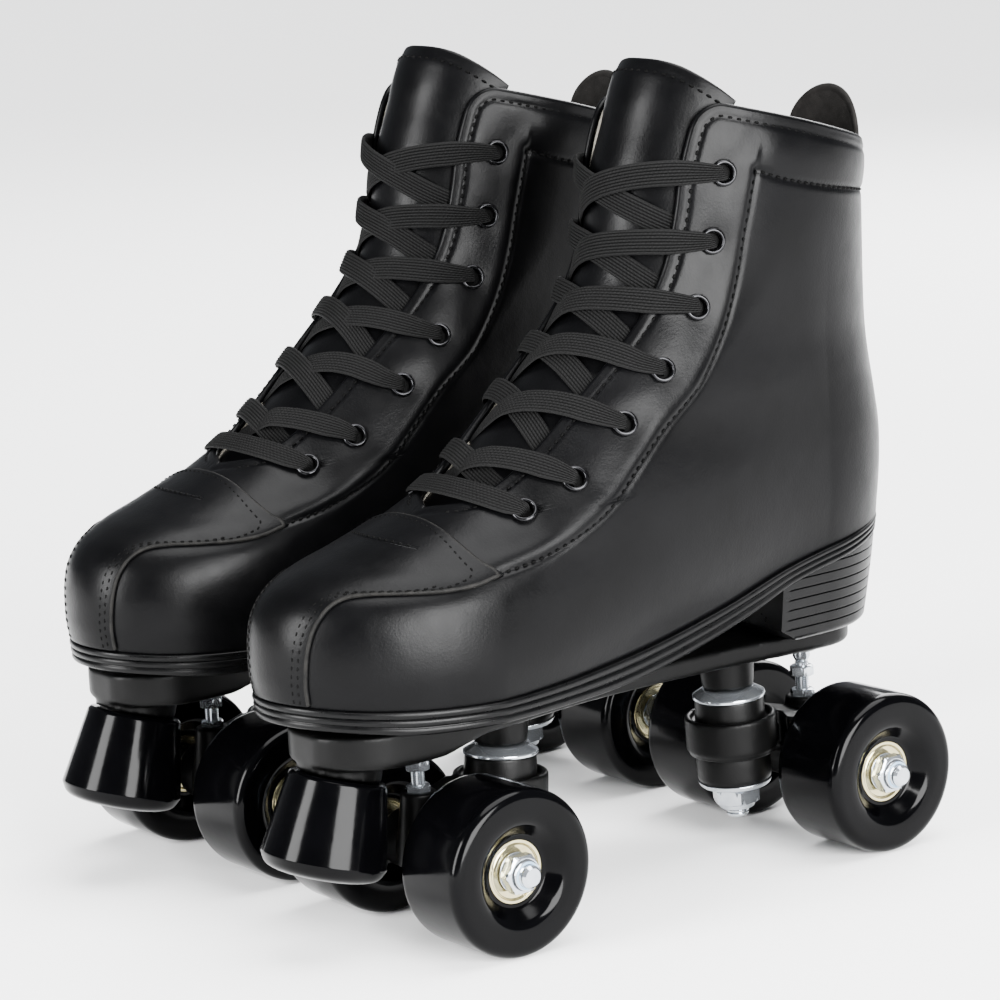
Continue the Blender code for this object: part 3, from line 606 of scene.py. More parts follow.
def row_heights():
    """Heights of the grid's rows, evenly spaced along the boot's front."""
    t = np.linspace(0.0, 1.0, 400)
    length = np.r_[0, np.cumsum(np.linalg.norm(np.diff(boot_point(t, ROW_TURN + 0 * t), axis=0), axis=1))]
    return np.interp(np.linspace(0, length[-1], ROWS), length, t)


def rim_tilt(share, t):
    """How far the collar's rim stands off its line: up in front and down behind."""
    return (COLLAR_RISE - COLLAR_FALL * share) / BOOT_HEIGHT * step(0.89, 1.0, t)


def half_grid():
    """t and turn of the upper's points on its +x side, from the flap's edge to the back."""
    share = np.linspace(0.0, 1.0, COLUMNS + 1)[None]
    rows = row_heights()[:, None]
    t = rows - corner_drop(share, rows) + rim_tilt(share, rows)
    edge = flap_turn(t)
    return t, edge + (math.pi - edge) * share


def seam_line(knots, lift=0.0, spacing=0.8):
    """Points of a seam given by (t, turn) knots, and the normals there."""
    fine = through([(t, turn, 0.0) for t, turn in knots], 0.004)
    points = over_boot(fine[:, 0], fine[:, 1], lift)
    dense = through(points, spacing)
    place = np.linspace(0, 1, len(fine))
    at = np.linspace(0, 1, len(dense))
    length = np.r_[0, np.cumsum(np.linalg.norm(np.diff(points, axis=0), axis=1))]
    along = np.interp(at * length[-1], length, place)
    t, turn = np.interp(along, place, fine[:, 0]), np.interp(along, place, fine[:, 1])
    return dense, boot_normal(t, turn)


QUARTER_KNOTS = [(t, float(turn_at_y(t, y))) for t, y in QUARTER_SEAM]
COLLAR_KNOTS = [(t, math.radians(deg)) for deg, t in COLLAR_SEAM]
quarter_line, quarter_out = seam_line(QUARTER_KNOTS)
collar_line, collar_out = seam_line(COLLAR_KNOTS)


def eyelet_places():
    """(t, turn) of each eyelet on the +x side."""
    t = np.array([row[0] for row in EYELET_ROWS])
    return t, turn_at(t, np.array(EYELET_X))


EYELET_T, EYELET_TURN = eyelet_places()
EYELET_POINTS = boot_point(EYELET_T, EYELET_TURN)
EYELET_OUT = boot_normal(EYELET_T, EYELET_TURN)


def leather_relief(t, turn, points, edge_distance):
    """Height of the leather's padding, seams and folds over the plain boot, on the +x side."""
    seam_t = smooth([(math.radians(deg), at) for deg, at in COLLAR_SEAM], turn)
    behind = step(math.radians(66), math.radians(80), turn)
    climb = np.clip((t - seam_t) / (0.99 - seam_t), 0.0, 1.0)
    height = COLLAR_BULGE * np.sin(math.pi * climb) ** 0.8 * behind
    to_quarter = distance_to(points, quarter_line[::2])
    to_collar = distance_to(points, collar_line[::2])
    quarter_turn = np.interp(t, [k[0] for k in QUARTER_KNOTS[::-1]], [k[1] for k in QUARTER_KNOTS[::-1]])
    ahead = step(0.02, -0.02, turn - quarter_turn) * step(0.18, 0.24, t)
    height += 0.7 * hump(to_quarter - 3.0, 4.0) * ahead
    height -= 0.7 * hump(to_quarter, 1.2) * step(0.17, 0.21, t)
    height -= 0.7 * hump(to_collar, 1.2)
    height -= 0.4 * hump(edge_distance - 3.3, 1.0)
    for centre in EYELET_POINTS:
        away = np.linalg.norm(points - centre, axis=-1)
        height -= 0.6 * hump(away, 7.0) + 2.4 * step(4.0, 2.9, away)
    ankle = 0.8 * np.sin(points[..., 2] * 0.11 + 0.6 * points[..., 1] * 0.05)
    height += ankle * hump(t - 0.45, 0.16) * hump(turn - 1.9, 0.9) * 0.8
    vamp = np.sin(points[..., 1] * 0.16 + points[..., 0] * 0.05)
    height += 0.35 * vamp * hump(t - 0.3, 0.09) * hump(turn - 0.75, 0.45)
    return height


def flap_border(points, out):
    """The upper's free edge on its +x side: up the flap, then back along the collar, as points,
    normals and directions off the edge."""
    first = int(np.searchsorted(row_heights(), THROAT_BOTTOM, "right"))
    line = np.vstack([points[first - 1:, 0], points[-1, 1:]])
    normal = np.vstack([out[first - 1:, 0], out[-1, 1:]])
    normal[0] = (0.0, normal[0][1], normal[0][2])
    normal = unit(normal)
    along = np.gradient(line, axis=0)
    along[0] = (1.0, 0.0, 0.0)
    along[-1] = (-1.0, 0.0, 0.0)
    away = unit(np.cross(normal, unit(along)))
    return line, normal, away


def upper_shape():
    """The upper's outer skin with its seams, and its rolled free edge."""
    t, turn = half_grid()
    points = boot_point(t, turn)
    out = boot_normal(t, turn)
    plain_edge, _, _ = flap_border(points, out)
    edge_distance = distance_to(points, plain_edge)
    height = leather_relief(t, turn, points, edge_distance)
    points = points + out * height[..., None]
    line, normal, away = flap_border(points, out)
    rolled = []
    radius = FLAP_THICKNESS / 2
    for angle in np.radians([25, 50, 75, 100, 130, 160, 180]):
        rolled.append(line - normal * radius + normal * radius * math.cos(angle)
                      + away * radius * math.sin(angle))
    rolled.append(rolled[-1] - away * 4.0)
    rim = np.array([line] + rolled)
    half = joined([(points.reshape(-1, 3), [f[::-1] for f in grid_faces(ROWS, COLUMNS + 1)][::-1]),
                   (rim.reshape(-1, 3), grid_faces(len(rim), len(line)))])
    half = outward(half, (0.0, 40.0, 170.0))
    return joined([half, other_side(half)])


def other_side(shape):
    """The shape's other half: mirrored across the boot's own curved centre line."""
    verts, faces = shape
    verts = np.array(verts, float)
    verts[:, 0] = 2 * toe_offset(verts[:, 1]) - verts[:, 0]
    return verts, [polygon[::-1] for polygon in faces]


def outward(shape, centre):
    """Turns a shape's faces over if most of them look towards a point inside it."""
    verts, faces = shape
    sample = faces[::max(len(faces) // 400, 1)]
    score = 0
    for polygon in sample:
        a, b, c = (np.asarray(verts[k]) for k in polygon[:3])
        score += np.sign(np.dot(np.cross(b - a, c - a), a - np.array(centre)))
    return shape if score >= 0 else (verts, [polygon[::-1] for polygon in faces])


def lining_shape():
    """The boot's inner skin, open at its bottom."""
    rows, columns = 70, 90
    t = np.linspace(0.0, 1.0, rows)[:, None]
    share = np.linspace(0.0, 1.0, columns + 1)[None]
    t = np.maximum(t - corner_drop(share, t) + rim_tilt(share, t), 0.016) - 0.004 * step(0.8, 1.0, t)
    edge = flap_turn(t)
    edge = np.where(edge > 0, edge + 0.012, 0.0)
    turn = edge + (math.pi - edge) * share
    depth = FLAP_THICKNESS - 0.2 + 2.2 * step(0.78, 0.97, t) * step(0.9, 1.3, turn)
    points = over_boot(t, turn, -depth)
    half = (points.reshape(-1, 3), grid_faces(rows, columns + 1))
    return joined([half, other_side(half)])


def insole_shape():
    turns = np.linspace(0.12, math.pi - 0.1, 50)
    base = boot_point(np.full(50, 0.02), turns)
    half = np.maximum(half_width(0.02, base[:, 1]) - 4.0, 2.0)
    y = base[:, 1] * 0.96
    across = np.linspace(-1, 1, 25)
    x = toe_offset(base[:, 1])[:, None] + half[:, None] * across
    lift = smooth(SEAM_HEIGHT, y)[:, None] + 5.2 + 1.2 * np.abs(across) ** 3 + 0.6
    outer = np.stack([x, np.repeat(y[:, None], 25, 1), lift + 2.0 + 0 * x], -1)
    inner = np.stack([x, np.repeat(y[:, None], 25, 1), lift - 1.0 + 0 * x], -1)
    return sheet_solid(outer, inner)


# The apron over the toe: stations (t at its middle, t at its edges, half width, centre)
APRON_THICKNESS = 1.1
APRON_STATIONS = ((0.004, 0.004, 15.0, 0.6), (0.05, 0.05, 15.4, 0.8), (0.1, 0.1, 16.3, 0.8),
                  (0.135, 0.131, 17.0, 0.8), (0.160, 0.155, 18.0, 0.6), (0.184, 0.169, 20.2, 0.4),
                  (0.205, 0.175, 24.8, 0.2), (0.223, 0.1775, 31.0, 0.0), (0.238, 0.180, 36.0, 0.0),
                  (0.254, 0.186, 38.2, 0.0), (0.270, 0.199, 38.7, 0.0))


def apron_stations(count):
    """The stations made fine, and the same but for any share of the half width."""
    table = np.array(APRON_STATIONS)
    at = np.linspace(0, 1, len(table))
    place = np.linspace(0, 1, count)
    return [smooth(list(zip(at, table[:, k])), place) for k in range(4)]


def apron_turn(t_middle, t_edge, half, centre, across):
    """t and turn at a share across the apron, -1 to 1."""
    t = t_middle + (t_edge - t_middle) * np.abs(across) ** 2.2
    return t, turn_at(t, centre + half * across)


def apron_shape():
    t_middle, t_edge, half, centre = (a[:, None] for a in apron_stations(90))
    across = np.linspace(-1, 1, 71)[None]
    t, turn = apron_turn(t_middle, t_edge, half, centre, across)
    height = APRON_THICKNESS + 0.25 * (1 - np.abs(across) ** 8)
    return sheet_solid(over_boot(t, turn, height), over_boot(t, turn, -0.6))


def apron_side(inset, lift, side):
    """A line that runs inset from the apron's edge, up one side of it."""
    t_middle, t_edge, half, centre = (values[:54] for values in apron_stations(60))
    t, turn = apron_turn(t_middle, t_edge, half - inset, centre, side)
    return over_boot(t, turn, lift), boot_normal(t, turn)


def apron_border(inset, lift):
    """A line that runs inset from the apron's edge, up one side, across the top, and down."""
    t_middle, t_edge, half, centre = apron_stations(60)
    half = half - inset
    up = apron_turn(t_middle, t_edge, half, centre, 1.0)
    down = apron_turn(t_middle, t_edge, half, centre, -1.0)
    last = [values[-1] for values in (t_middle, t_edge, half, centre)]
    back = inset / 700.0
    shares = np.linspace(0.96, -0.96, 40)
    top = apron_turn(last[0] - back, last[1] - back * 0.3, last[2], last[3], shares)
    keep = slice(0, len(t_middle) - 1 - int(inset * 0.6))
    t = np.r_[up[0][keep], top[0], down[0][keep][::-1]]
    turn = np.r_[up[1][keep], top[1], down[1][keep][::-1]]
    return over_boot(t, turn, lift), boot_normal(t, turn)


def edge_cord(line, out, width, height):
    """A raised strip with a rounded top along a line, as a cut leather edge looks."""
    path = through(np.hstack([line, out]), 0.8)
    points, normals = path[:, :3], unit(path[:, 3:])
    along = unit(np.gradient(points, axis=0))
    side = np.cross(along, normals)
    section = ((-1.0, -0.9), (-1.0, 0.2), (-0.75, 0.8), (0.0, 1.0), (0.75, 0.8), (1.0, 0.2), (1.0, -0.9))
    loops = [points + side * width / 2 * u + normals * height * v for u, v in section]
    return tube(np.stack(loops, 1))


# Eyelets, tongue, laces and pull tab

def frame_at(point, out):
    """A matrix that puts Z along out at a point."""
    rotation = Vector(out).to_track_quat("Z", "Y").to_matrix().to_4x4()
    return Matrix.Translation(Vector(point)) @ rotation


def at_eyelets(shape):
    """A shape at every eyelet, its Z axis off the leather."""
    half = joined([moved(shape, frame_at(p, n)) for p, n in zip(EYELET_POINTS, EYELET_OUT)])
    return joined([half, other_side(half)])


def painted_eyelet_shade_shape():
    """A near-black disc in each eyelet hole: painted shade standing for the boot's dark inside, seen through
    the eyelets.
    """
    disc = turned(((0.01, -2.3, 0), (3.1, -2.3, 0), (3.1, -1.7, 0), (0.01, -1.7, 0)), 24, ring=False)
    return at_eyelets(disc)


def eyelets_shape():
    ring = turned(((2.9, -2.2, 0), (2.9, 0.1, 0.6), (3.6, 1.25, 0.7), (4.5, 0.9, 0.6), (4.75, -0.7, 0.3),
                   (4.4, -1.6, 0), (3.2, -2.2, 0)), 40, 4)
    ring = outward(ring, (0, 0, -20.0))
    return at_eyelets(ring)


TONGUE_TOP = ((0.0, 1.094), (10.0, 1.093), (18.0, 1.086), (25.0, 1.07), (30.0, 1.052), (33.5, 1.034))
TONGUE_HALF = 33.5
TONGUE_FLARE = 4.0
TONGUE_START = 0.272


def tongue_flare(t):
    """How far the tongue's top leans forward off the boot's line."""
    return TONGUE_FLARE * np.clip((t - 0.94) / 0.165, 0.0, 1.0) ** 1.5


def tongue_grids():
    """The tongue's face and back, as grids of points."""
    rows, columns = 110, 61
    x = np.linspace(-TONGUE_HALF, TONGUE_HALF, columns)[None]
    share = np.linspace(0.0, 1.0, rows)[:, None]
    t = TONGUE_START + (smooth(TONGUE_TOP, np.abs(x)) - TONGUE_START) * share
    width = np.minimum(1.0, 0.5 + 5.0 * (t - TONGUE_START))
    turn = turn_at(t, np.where(x == 0, OFF_MIDDLE, x) * width)
    collar = 2.0 * step(0.78, 0.98, t)
    puff = 1.1 * (1 - (np.abs(x) / TONGUE_HALF) ** 4) * step(1.0, 0.965, share) + tongue_flare(t)
    outer = over_boot(t, turn, -(TONGUE_DEPTH + collar) + puff)
    thick = 4.2 - 1.4 * step(0.9, 1.0, share) - 1.6 * (np.abs(x) / TONGUE_HALF) ** 6
    inner = over_boot(t, turn, -(TONGUE_DEPTH + collar) + tongue_flare(t) - thick)
    return outer, inner


def tongue_stitch_line():
    x = np.linspace(-31.5, 31.5, 50)
    t = smooth(TONGUE_TOP, np.abs(x)) - 0.022
    turn = turn_at(t, np.where(x == 0, OFF_MIDDLE, x))
    return over_boot(t, turn, tongue_flare(t) - TONGUE_DEPTH - 1.2), boot_normal(t, turn)


LACE_WIDTH, LACE_THICKNESS = 8.8, 1.25
LACE_RIBS = 8


def ribbon(path, side, width):
    """A flat woven ribbon along a path, with its width direction and width at each point."""
    along = unit(np.gradient(path, axis=0))
    across = unit(side - (side * along).sum(-1, keepdims=True) * along)
    up = np.cross(across, along)
    run = np.r_[0, np.cumsum(np.linalg.norm(np.diff(path, axis=0), axis=1))][:, None]
    u = np.linspace(-1, 1, 6 * LACE_RIBS + 1)[None]
    rib = (u + 1) / 2 * LACE_RIBS
    body = (1 - np.abs(u) ** 5) ** 0.5
    twill = np.sin(2 * math.pi * (run / 1.5 + 0.5 * (rib.astype(int) % 2) + 0.5 * (rib % 1.0)))
    cords = np.abs(np.sin(math.pi * rib)) ** 0.7
    high = body * (0.35 * LACE_THICKNESS + 0.42 * cords + 0.14 * twill * cords)
    top = (path[:, None] + across[:, None] * (u * width[:, None] / 2)[..., None]
           + up[:, None] * high[..., None])
    v = np.linspace(1, -1, 9)[None, 1:-1]
    low = -LACE_THICKNESS / 2 * (1 - np.abs(v) ** 5) ** 0.5 + 0 * run
    bottom = (path[:, None] + across[:, None] * (v * width[:, None] / 2)[..., None]
              + up[:, None] * low[..., None])
    return tube(np.concatenate([top, bottom], 1))


def ribbon_through(stations):
    """A lace ribbon through stations (t, x from the centre line, lift, width)."""
    stations = np.array(stations, float)
    turn = turn_at(stations[:, 0], np.where(stations[:, 1] == 0, 1e-6, stations[:, 1]))
    points = over_boot(stations[:, 0], turn, stations[:, 2])
    normals = boot_normal(stations[:, 0], turn)
    chord = unit(points[-1] - points[0])
    side = unit(np.cross(chord, normals))
    path = through(np.hstack([points, side, stations[:, 3:]]), 0.38)
    return ribbon(path[:, :3], unit(path[:, 3:6]), path[:, 6])


def band_stations(row, over):
    """Stations of the band that comes from under the -x flap, one row lower, and goes down into
    the row's eyelet on the +x side. over says whether it lies on the other band."""
    (edge_a, middle_a), (edge_b, middle_b) = EYELET_ROWS[row - 1], EYELET_ROWS[row]
    x_from, x_to = EYELET_X[row - 1], EYELET_X[row]
    flap = float(smooth(THROAT_EDGE, edge_a))
    stations = []
    for share in (0.06, 0.13, 0.22, 0.34, 0.46, 0.58, 0.7, 0.8, 0.88, 0.94, 0.985, 1.0, 1.0):
        x = -x_from + (x_to + x_from) * share
        bend = (abs(x) / max(x_from, x_to)) ** 2
        edge = edge_a + (edge_b - edge_a) * share
        middle = middle_a + (middle_b - middle_a) * share
        stations.append([middle + (edge - middle) * bend, x, 0.0, LACE_WIDTH])
    middle_lift = 0.3 if over else -1.3
    lifts = smooth(((-40.0, -3.6), (-flap - 1, -3.3), (-flap * 0.55, -1.9), (0.0, middle_lift),
                    (flap * 0.6, 0.75 if over else 0.0), (flap + 1.5, 1.35), (x_to - 5, 1.25),
                    (x_to, 1.0)), np.array([s[1] for s in stations]))
    for station, lift in zip(stations, lifts):
        station[2] = lift
    sway = 0.004 * math.sin(2.4 * row + (1.0 if over else 2.7))
    for k in range(3, 9):
        stations[k][0] += sway * math.sin(math.pi * (k - 2) / 7)
    stations[-4][3] = LACE_WIDTH * 0.85
    stations[-3][3] = LACE_WIDTH * 0.66
    stations[-2][3] = LACE_WIDTH * 0.56
    stations[-2][2] = 0.1
    stations[-1][3] = LACE_WIDTH * 0.5
    stations[-1][2] = -3.4
    return stations


def lowest_bar_stations():
    edge, middle = EYELET_ROWS[0]
    reach = EYELET_X[0]
    stations = []
    for share, lift, width in ((-1.0, -3.4, 0.5), (-1.0, 0.1, 0.56), (-0.96, 0.9, 0.7),
                               (-0.84, 1.3, 0.95), (-0.6, 1.5, 1.0), (-0.3, 1.3, 1.0), (0.0, 1.2, 1.0),
                               (0.3, 1.3, 1.0), (0.6, 1.5, 1.0), (0.84, 1.3, 0.95), (0.96, 0.9, 0.7),
                               (1.0, 0.1, 0.56), (1.0, -3.4, 0.5)):
        t = middle + (edge - middle) * share**2
        stations.append((t - 0.006 * (1 - share**2), reach * share, lift, LACE_WIDTH * width))
    return stations


def lace_shape():
    bands = [ribbon_through(lowest_bar_stations())]
    for row in range(1, len(EYELET_ROWS)):
        bands.append(ribbon_through(band_stations(row, True)))
        bands.append(other_side(ribbon_through(band_stations(row, False))))
    return joined(bands)


def pull_tab_shape():
    """The rounded loop of leather at the back of the collar, as a soft-edged pad."""
    half, low, shoulder, top = 18.5, 229.0, 254.0, 271.5
    arch = np.linspace(0, math.pi, 40)
    flank = (low + shoulder) / 2
    outline = np.vstack([[(-half * 0.8, low), (0.0, low), (half * 0.8, low), (half * 0.95, flank)],
                         np.stack([half * np.cos(arch), shoulder + (top - shoulder) * np.sin(arch)], -1),
                         [(-half * 0.95, flank)]])
    outline = np.vstack([outline, outline[:1]])
    outline = through(np.hstack([outline, np.zeros((len(outline), 1))]), 1.0)[:-1, :2]
    middle = np.array([0.0, (low + top) / 2])
    back = float(smooth(BACK_LINE, 0.8)) - 3.2
    loops = []
    for scale, rise in ((0.02, 1.0), (0.5, 1.0), (0.86, 1.0), (0.88, 0.82), (0.9, 1.0), (0.95, 0.95),
                        (0.985, 0.6), (1.0, 0.0), (0.985, -0.6), (0.95, -1.0), (0.5, -1.0), (0.02, -1.0)):
        ring = middle + (outline - middle) * scale
        x, z = ring.T
        loops.append(np.stack([x, back - 0.012 * x**2 - 1.1 * rise, z], -1))
    return outward(tube(loops), (0, back, 250.0))


# The sole and its heel

SOLE_BOTTOM = ((-146, 82.7), (-125, 80.4), (-108, 78.7), (-40, 78.7), (-15, 80.6), (15, 86.5),
               (40, 94), (58, 100.6), (90, 107), (123, 112.6))
WELT = 1.6
HEEL_FRONT = 53.0
HEEL_INSET = 1.6
HEEL_BOTTOM = 78.35
HEEL_GROOVES = tuple(83.0 + 3.7 * k for k in range(8))


def sole_outline(turns):
    """The boot's outline at its seam with the directions out of it, level with the floor."""
    base = boot_point(np.zeros(len(turns)), turns)
    reach = 0.01
    along = boot_point(np.zeros(len(turns)), turns + reach) - boot_point(np.zeros(len(turns)), turns - reach)
    out = unit(np.stack([along[:, 1], -along[:, 0], 0 * along[:, 0]], -1))
    return base - out * HEEL_INSET * step(70, 118, base[:, 1])[:, None], out


def sole_shape():
    """The slab under the boot, with three rounded ridges round its side."""
    count = 361
    turns = np.linspace(-math.pi, math.pi, count)[:-1]
    base, out = sole_outline(turns)
    top = smooth(SEAM_HEIGHT, base[:, 1]) - 0.3
    bottom = smooth(SOLE_BOTTOM, base[:, 1])
    rows = [(1.03, -5.0), (1.03, -0.4), (1.0, 0.7)]
    for share in np.linspace(0.985, 0.02, 40):
        ridge = 0.75 * abs(math.sin(3 * math.pi * (1.0 - share))) ** 0.55
        rows.append((share, WELT - 0.6 + ridge - 0.8 * (1 - share)))
    rows += [(0.0, 0.0), (-0.02, -1.2), (-0.02, -6.0)]
    loops = []
    for share, reach in rows:
        loop = base + out * reach
        loop[:, 2] = bottom + (top - bottom) * share
        loops.append(loop)
    verts, faces = tube(loops, capped=False)
    columns = count - 1
    middle = columns // 2
    for row in (0, len(rows) - 1):
        start = row * columns
        for k in range(middle):
            a, b = start + middle + k, start + (middle + k + 1) % columns
            c, d = start + middle - k - 1, start + middle - k
            strip = [a, b, c, d]
            faces.append(strip if row else strip[::-1])
    return outward((verts, faces), (0, 0, 88.0))


def heel_shape():
    """The stacked heel: grooves parallel to its bottom, a straight breast with a chamfer."""
    limit = float(turn_at_y(0.0, HEEL_FRONT))
    turns = np.linspace(limit, 2 * math.pi - limit, 160)
    base, out = sole_outline(turns)
    slab = smooth(SOLE_BOTTOM, base[:, 1])
    seam = smooth(SEAM_HEIGHT, base[:, 1])
    levels = list(np.linspace(HEEL_BOTTOM, 117.5, 96))
    for groove in HEEL_GROOVES:
        levels += [groove - 0.3, groove - 0.15, groove, groove + 0.15, groove + 0.3]
    loops = []
    from_breast = np.abs(base[:, 1] - HEEL_FRONT)
    for z in sorted(levels):
        up = (z - HEEL_BOTTOM) / 32.0
        foot = max(0.0, 1.0 - (z - HEEL_BOTTOM) / 2.0)
        reach = WELT - 1.0 - 3.4 * max(0.0, 1.0 - up) ** 1.3 - 1.4 * foot**2
        depth = max(hump(z - groove, 0.17) for groove in HEEL_GROOVES)
        offset = reach - 0.6 * depth * step(2.0, 6.0, from_breast)
        offset = offset - 3.5 * step(slab + 0.4, slab + 1.0, z)
        loop = base + out * offset[:, None]
        loop[:, 1] -= 3.0 * max(0.0, 1.0 - up) * step(90, 122, base[:, 1])
        loop[:, 2] = np.minimum(z, seam + 2.0)
        breast_y = HEEL_FRONT + max(0.0, 8.5 - (z - HEEL_BOTTOM) * 1.7)
        loop[:, 1] = np.maximum(loop[:, 1], breast_y)
        share = np.linspace(0, 1, 14)[1:-1, None]
        breast = loop[-1] + (loop[0] - loop[-1]) * share
        breast[:, 1] = breast_y
        loops.append(np.vstack([loop, breast]))
    return outward(tube(loops), (0, 92.0, 95.0))


# The chassis

PLATE_FRONT, PLATE_BACK = -134.0, 103.0
PLATE_HALF_WIDTH = ((-134, 20), (-110, 24.5), (-70, 24), (-20, 18), (40, 18), (80, 20.5), (103, 18))
PLATE_UNDERSIDE = ((-134, 67.5), (-128, 66.2), (-94, 66), (-84, 68.2), (-72, 70.4), (103, 70.4))


def truck_y(truck, inward):
    """The y of a point on a truck that lies inward of its axle by this much."""
    return truck * (WHEELBASE / 2 - inward)


def kingpin_frame(truck):
    return (Matrix.Translation((0, truck_y(truck, KINGPIN_INWARD), RING_HEIGHT_Z))
            @ Matrix.Rotation(math.radians(truck * KINGPIN_LEAN_DEG), 4, "X"))


def toe_stop_frame():
    return (Matrix.Translation((0, *TOE_STOP_TOP))
            @ Matrix.Rotation(math.radians(-TOE_STOP_LEAN_DEG), 4, "X"))


def plate_slab():
    loops = []
    for k in range(121):
        y = PLATE_FRONT + (PLATE_BACK - PLATE_FRONT) * (1 - math.cos(math.pi * k / 120)) / 2
        tip = min(rounded(y - PLATE_FRONT, 20.0), rounded(PLATE_BACK - y, 16.0))
        half = max(float(smooth(PLATE_HALF_WIDTH, y)) * (0.25 + 0.75 * tip), 1.0)
        under = float(smooth(PLATE_UNDERSIDE, y))
        low, high, soft = under, PLATE_TOP, 1.6
        section = [(-half, high), (half, high), (half, low + soft), (half - 0.4 * soft, low + 0.4 * soft),
                   (half - soft, low), (-half + soft, low), (-half + 0.4 * soft, low + 0.4 * soft),
                   (-half, low + soft)]
        loops.append([(x, y, z) for x, z in section])
    return tube(loops)


def plate_shape():
    """The moulded plate with its bosses for kingpins, pivots and toe stop, and its lug."""
    shapes = [outward(plate_slab(), (0, 0, 74))]
    for truck in (-1, 1):
        king = kingpin_frame(truck)
        shapes.append(moved(turned(((0.01, 17.6, 0), (9.4, 17.6, 0), (10.4, 31.0, 0), (0.01, 31.0, 0)),
                                   48, ring=False), king))
        seat = Matrix.Translation((0, truck_y(truck, -PIVOT_OUTWARD), PIVOT_BALL_Z))
        shapes.append(moved(turned(((0.01, 1.2, 0), (5.8, 1.2, 0), (8.4, 8.5, 0), (0.01, 8.5, 0)),
                                   40, ring=False), seat))
    shapes.append(moved(turned(((0.01, 0.4, 0), (14.5, 0.4, 0), (14.5, 12.0, 0), (0.01, 12.0, 0)),
                               64, ring=False), toe_stop_frame()))
    lug = [[(x, y, z) for x, y in ((-3, 93.5), (3, 93.5), (2.6, 97.5), (-2.6, 97.5))]
           for z in (66.0, 72.0)]
    shapes.append(outward(tube(lug), (0, 95.5, 69)))
    return moulded(shapes, 0.85, 4)


def toe_stop_shape():
    low = -TOE_STOP_LENGTH
    return moved(turned(((0.01, low, 0), (15.0, low, 4.0), (19.8, low + 1.6, 3.0), (21.7, low + 5.4, 0.5),
                         (21.5, low + 6.6, 0.5), (17.0, -1.0, 0.8), (16.0, 0.0, 0.5), (0.01, 0.0, 0)),
                        96, 6, ring=False), toe_stop_frame())


def hanger_shape(truck):
    """The cast truck: two-tier ring, tapering arm, axle housing and pivot boss."""
    king = kingpin_frame(truck)
    ring = turned(((8.6, -5.0, 0), (14.4, -5.0, 0), (14.5, -7.2, 0), (15.7, -7.2, 0), (15.8, -5.6, 0),
                   (16.7, -5.0, 0), (16.7, 6.6, 0), (16.2, 7.2, 0), (14.5, 7.2, 0), (14.4, 5.0, 0),
                   (8.6, 5.0, 0)), 72)
    axle_y = truck_y(truck, 0)
    sideways = Matrix.Translation((0, axle_y, AXLE_HEIGHT)) @ Matrix.Rotation(math.pi / 2, 4, "Y")
    housing = turned(((0.01, -25.0, 0), (6.9, -25.0, 0), (7.4, -20, 0), (10.6, -15, 0), (10.6, 15, 0),
                      (7.4, 20, 0), (6.9, 25.0, 0), (0.01, 25.0, 0)), 48, ring=False)
    near, far = truck_y(truck, KINGPIN_INWARD - 15.0), truck_y(truck, -2.0)
    arm = [[(-12.5, near, 34.8), (12.5, near, 34.8), (14.0, near, 38), (13.4, near, 46.5), (10, near, 48.4),
            (-10, near, 48.4), (-13.4, near, 46.5), (-14.0, near, 38)],
           [(-12.0, axle_y, 22), (12.0, axle_y, 22), (14.0, axle_y, 26), (11.5, axle_y, 42),
            (8, axle_y, 44.5), (-8, axle_y, 44.5), (-11.5, axle_y, 42), (-14.0, axle_y, 26)],
           [(-6.0, far, 24), (6.0, far, 24), (8.0, far, 27), (6.6, far, 41), (4.5, far, 43),
            (-4.5, far, 43), (-6.6, far, 41), (-8.0, far, 27)]]
    pivot_y = truck_y(truck, -PIVOT_OUTWARD)
    boss = turned(((0.01, 23.3, 0), (9.0, 23.3, 0), (6.2, 48.8, 0), (0.01, 48.8, 0)), 40, ring=False)
    parts = [moved(ring, king), moved(housing, sideways), outward(tube(arm), (0, axle_y, 34)),
             moved(boss, Matrix.Translation((0, pivot_y, 0)))]
    return moulded([outward(p, np.asarray(p[0]).mean(0)) if k else p for k, p in enumerate(parts)], 0.62, 4)


def kingpin_shapes(truck):
    """Bolt end, lock nut and lower cup washer of a kingpin."""
    king = kingpin_frame(truck)
    bolt = threads(4.1, -31.6, -20.0, 1.25, 0.42, 0.9)
    bolt = turned([(0.01, -31.6, 0)] + bolt + [(4.1, 30.0, 0), (0.01, 30.0, 0)], 40, ring=False)
    washer = turned(((4.6, -20.0, 0), (9.5, -20.2, 0.8), (12.6, -19.3, 0.8), (13.5, -17.6, 0.3),
                     (13.1, -17.3, 0.3), (12.0, -18.4, 0.8), (9.0, -18.5, 0), (4.6, -18.5, 0)), 72)
    nut = moved(hex_nut(15.6, 20.2, 26.4, 4.3, 1.9), Matrix.Rotation(math.pi, 4, "X"))
    parts = [outward(bolt, (0, 0, 0)), outward(washer, (0, 0, -10)), outward(nut, (0, 0, -23))]
    return [moved(part, king) for part in parts]


def top_washer_shape(truck):
    washer = turned(((5.0, 15.6, 0), (8.8, 15.6, 1.0), (12.6, 13.7, 0.5), (13.25, 13.7, 0.3),
                     (13.3, 14.9, 0.6), (9.4, 17.1, 1.0), (5.0, 17.2, 0)), 80)
    return moved(outward(washer, (0, 0, 16.0)), kingpin_frame(truck))


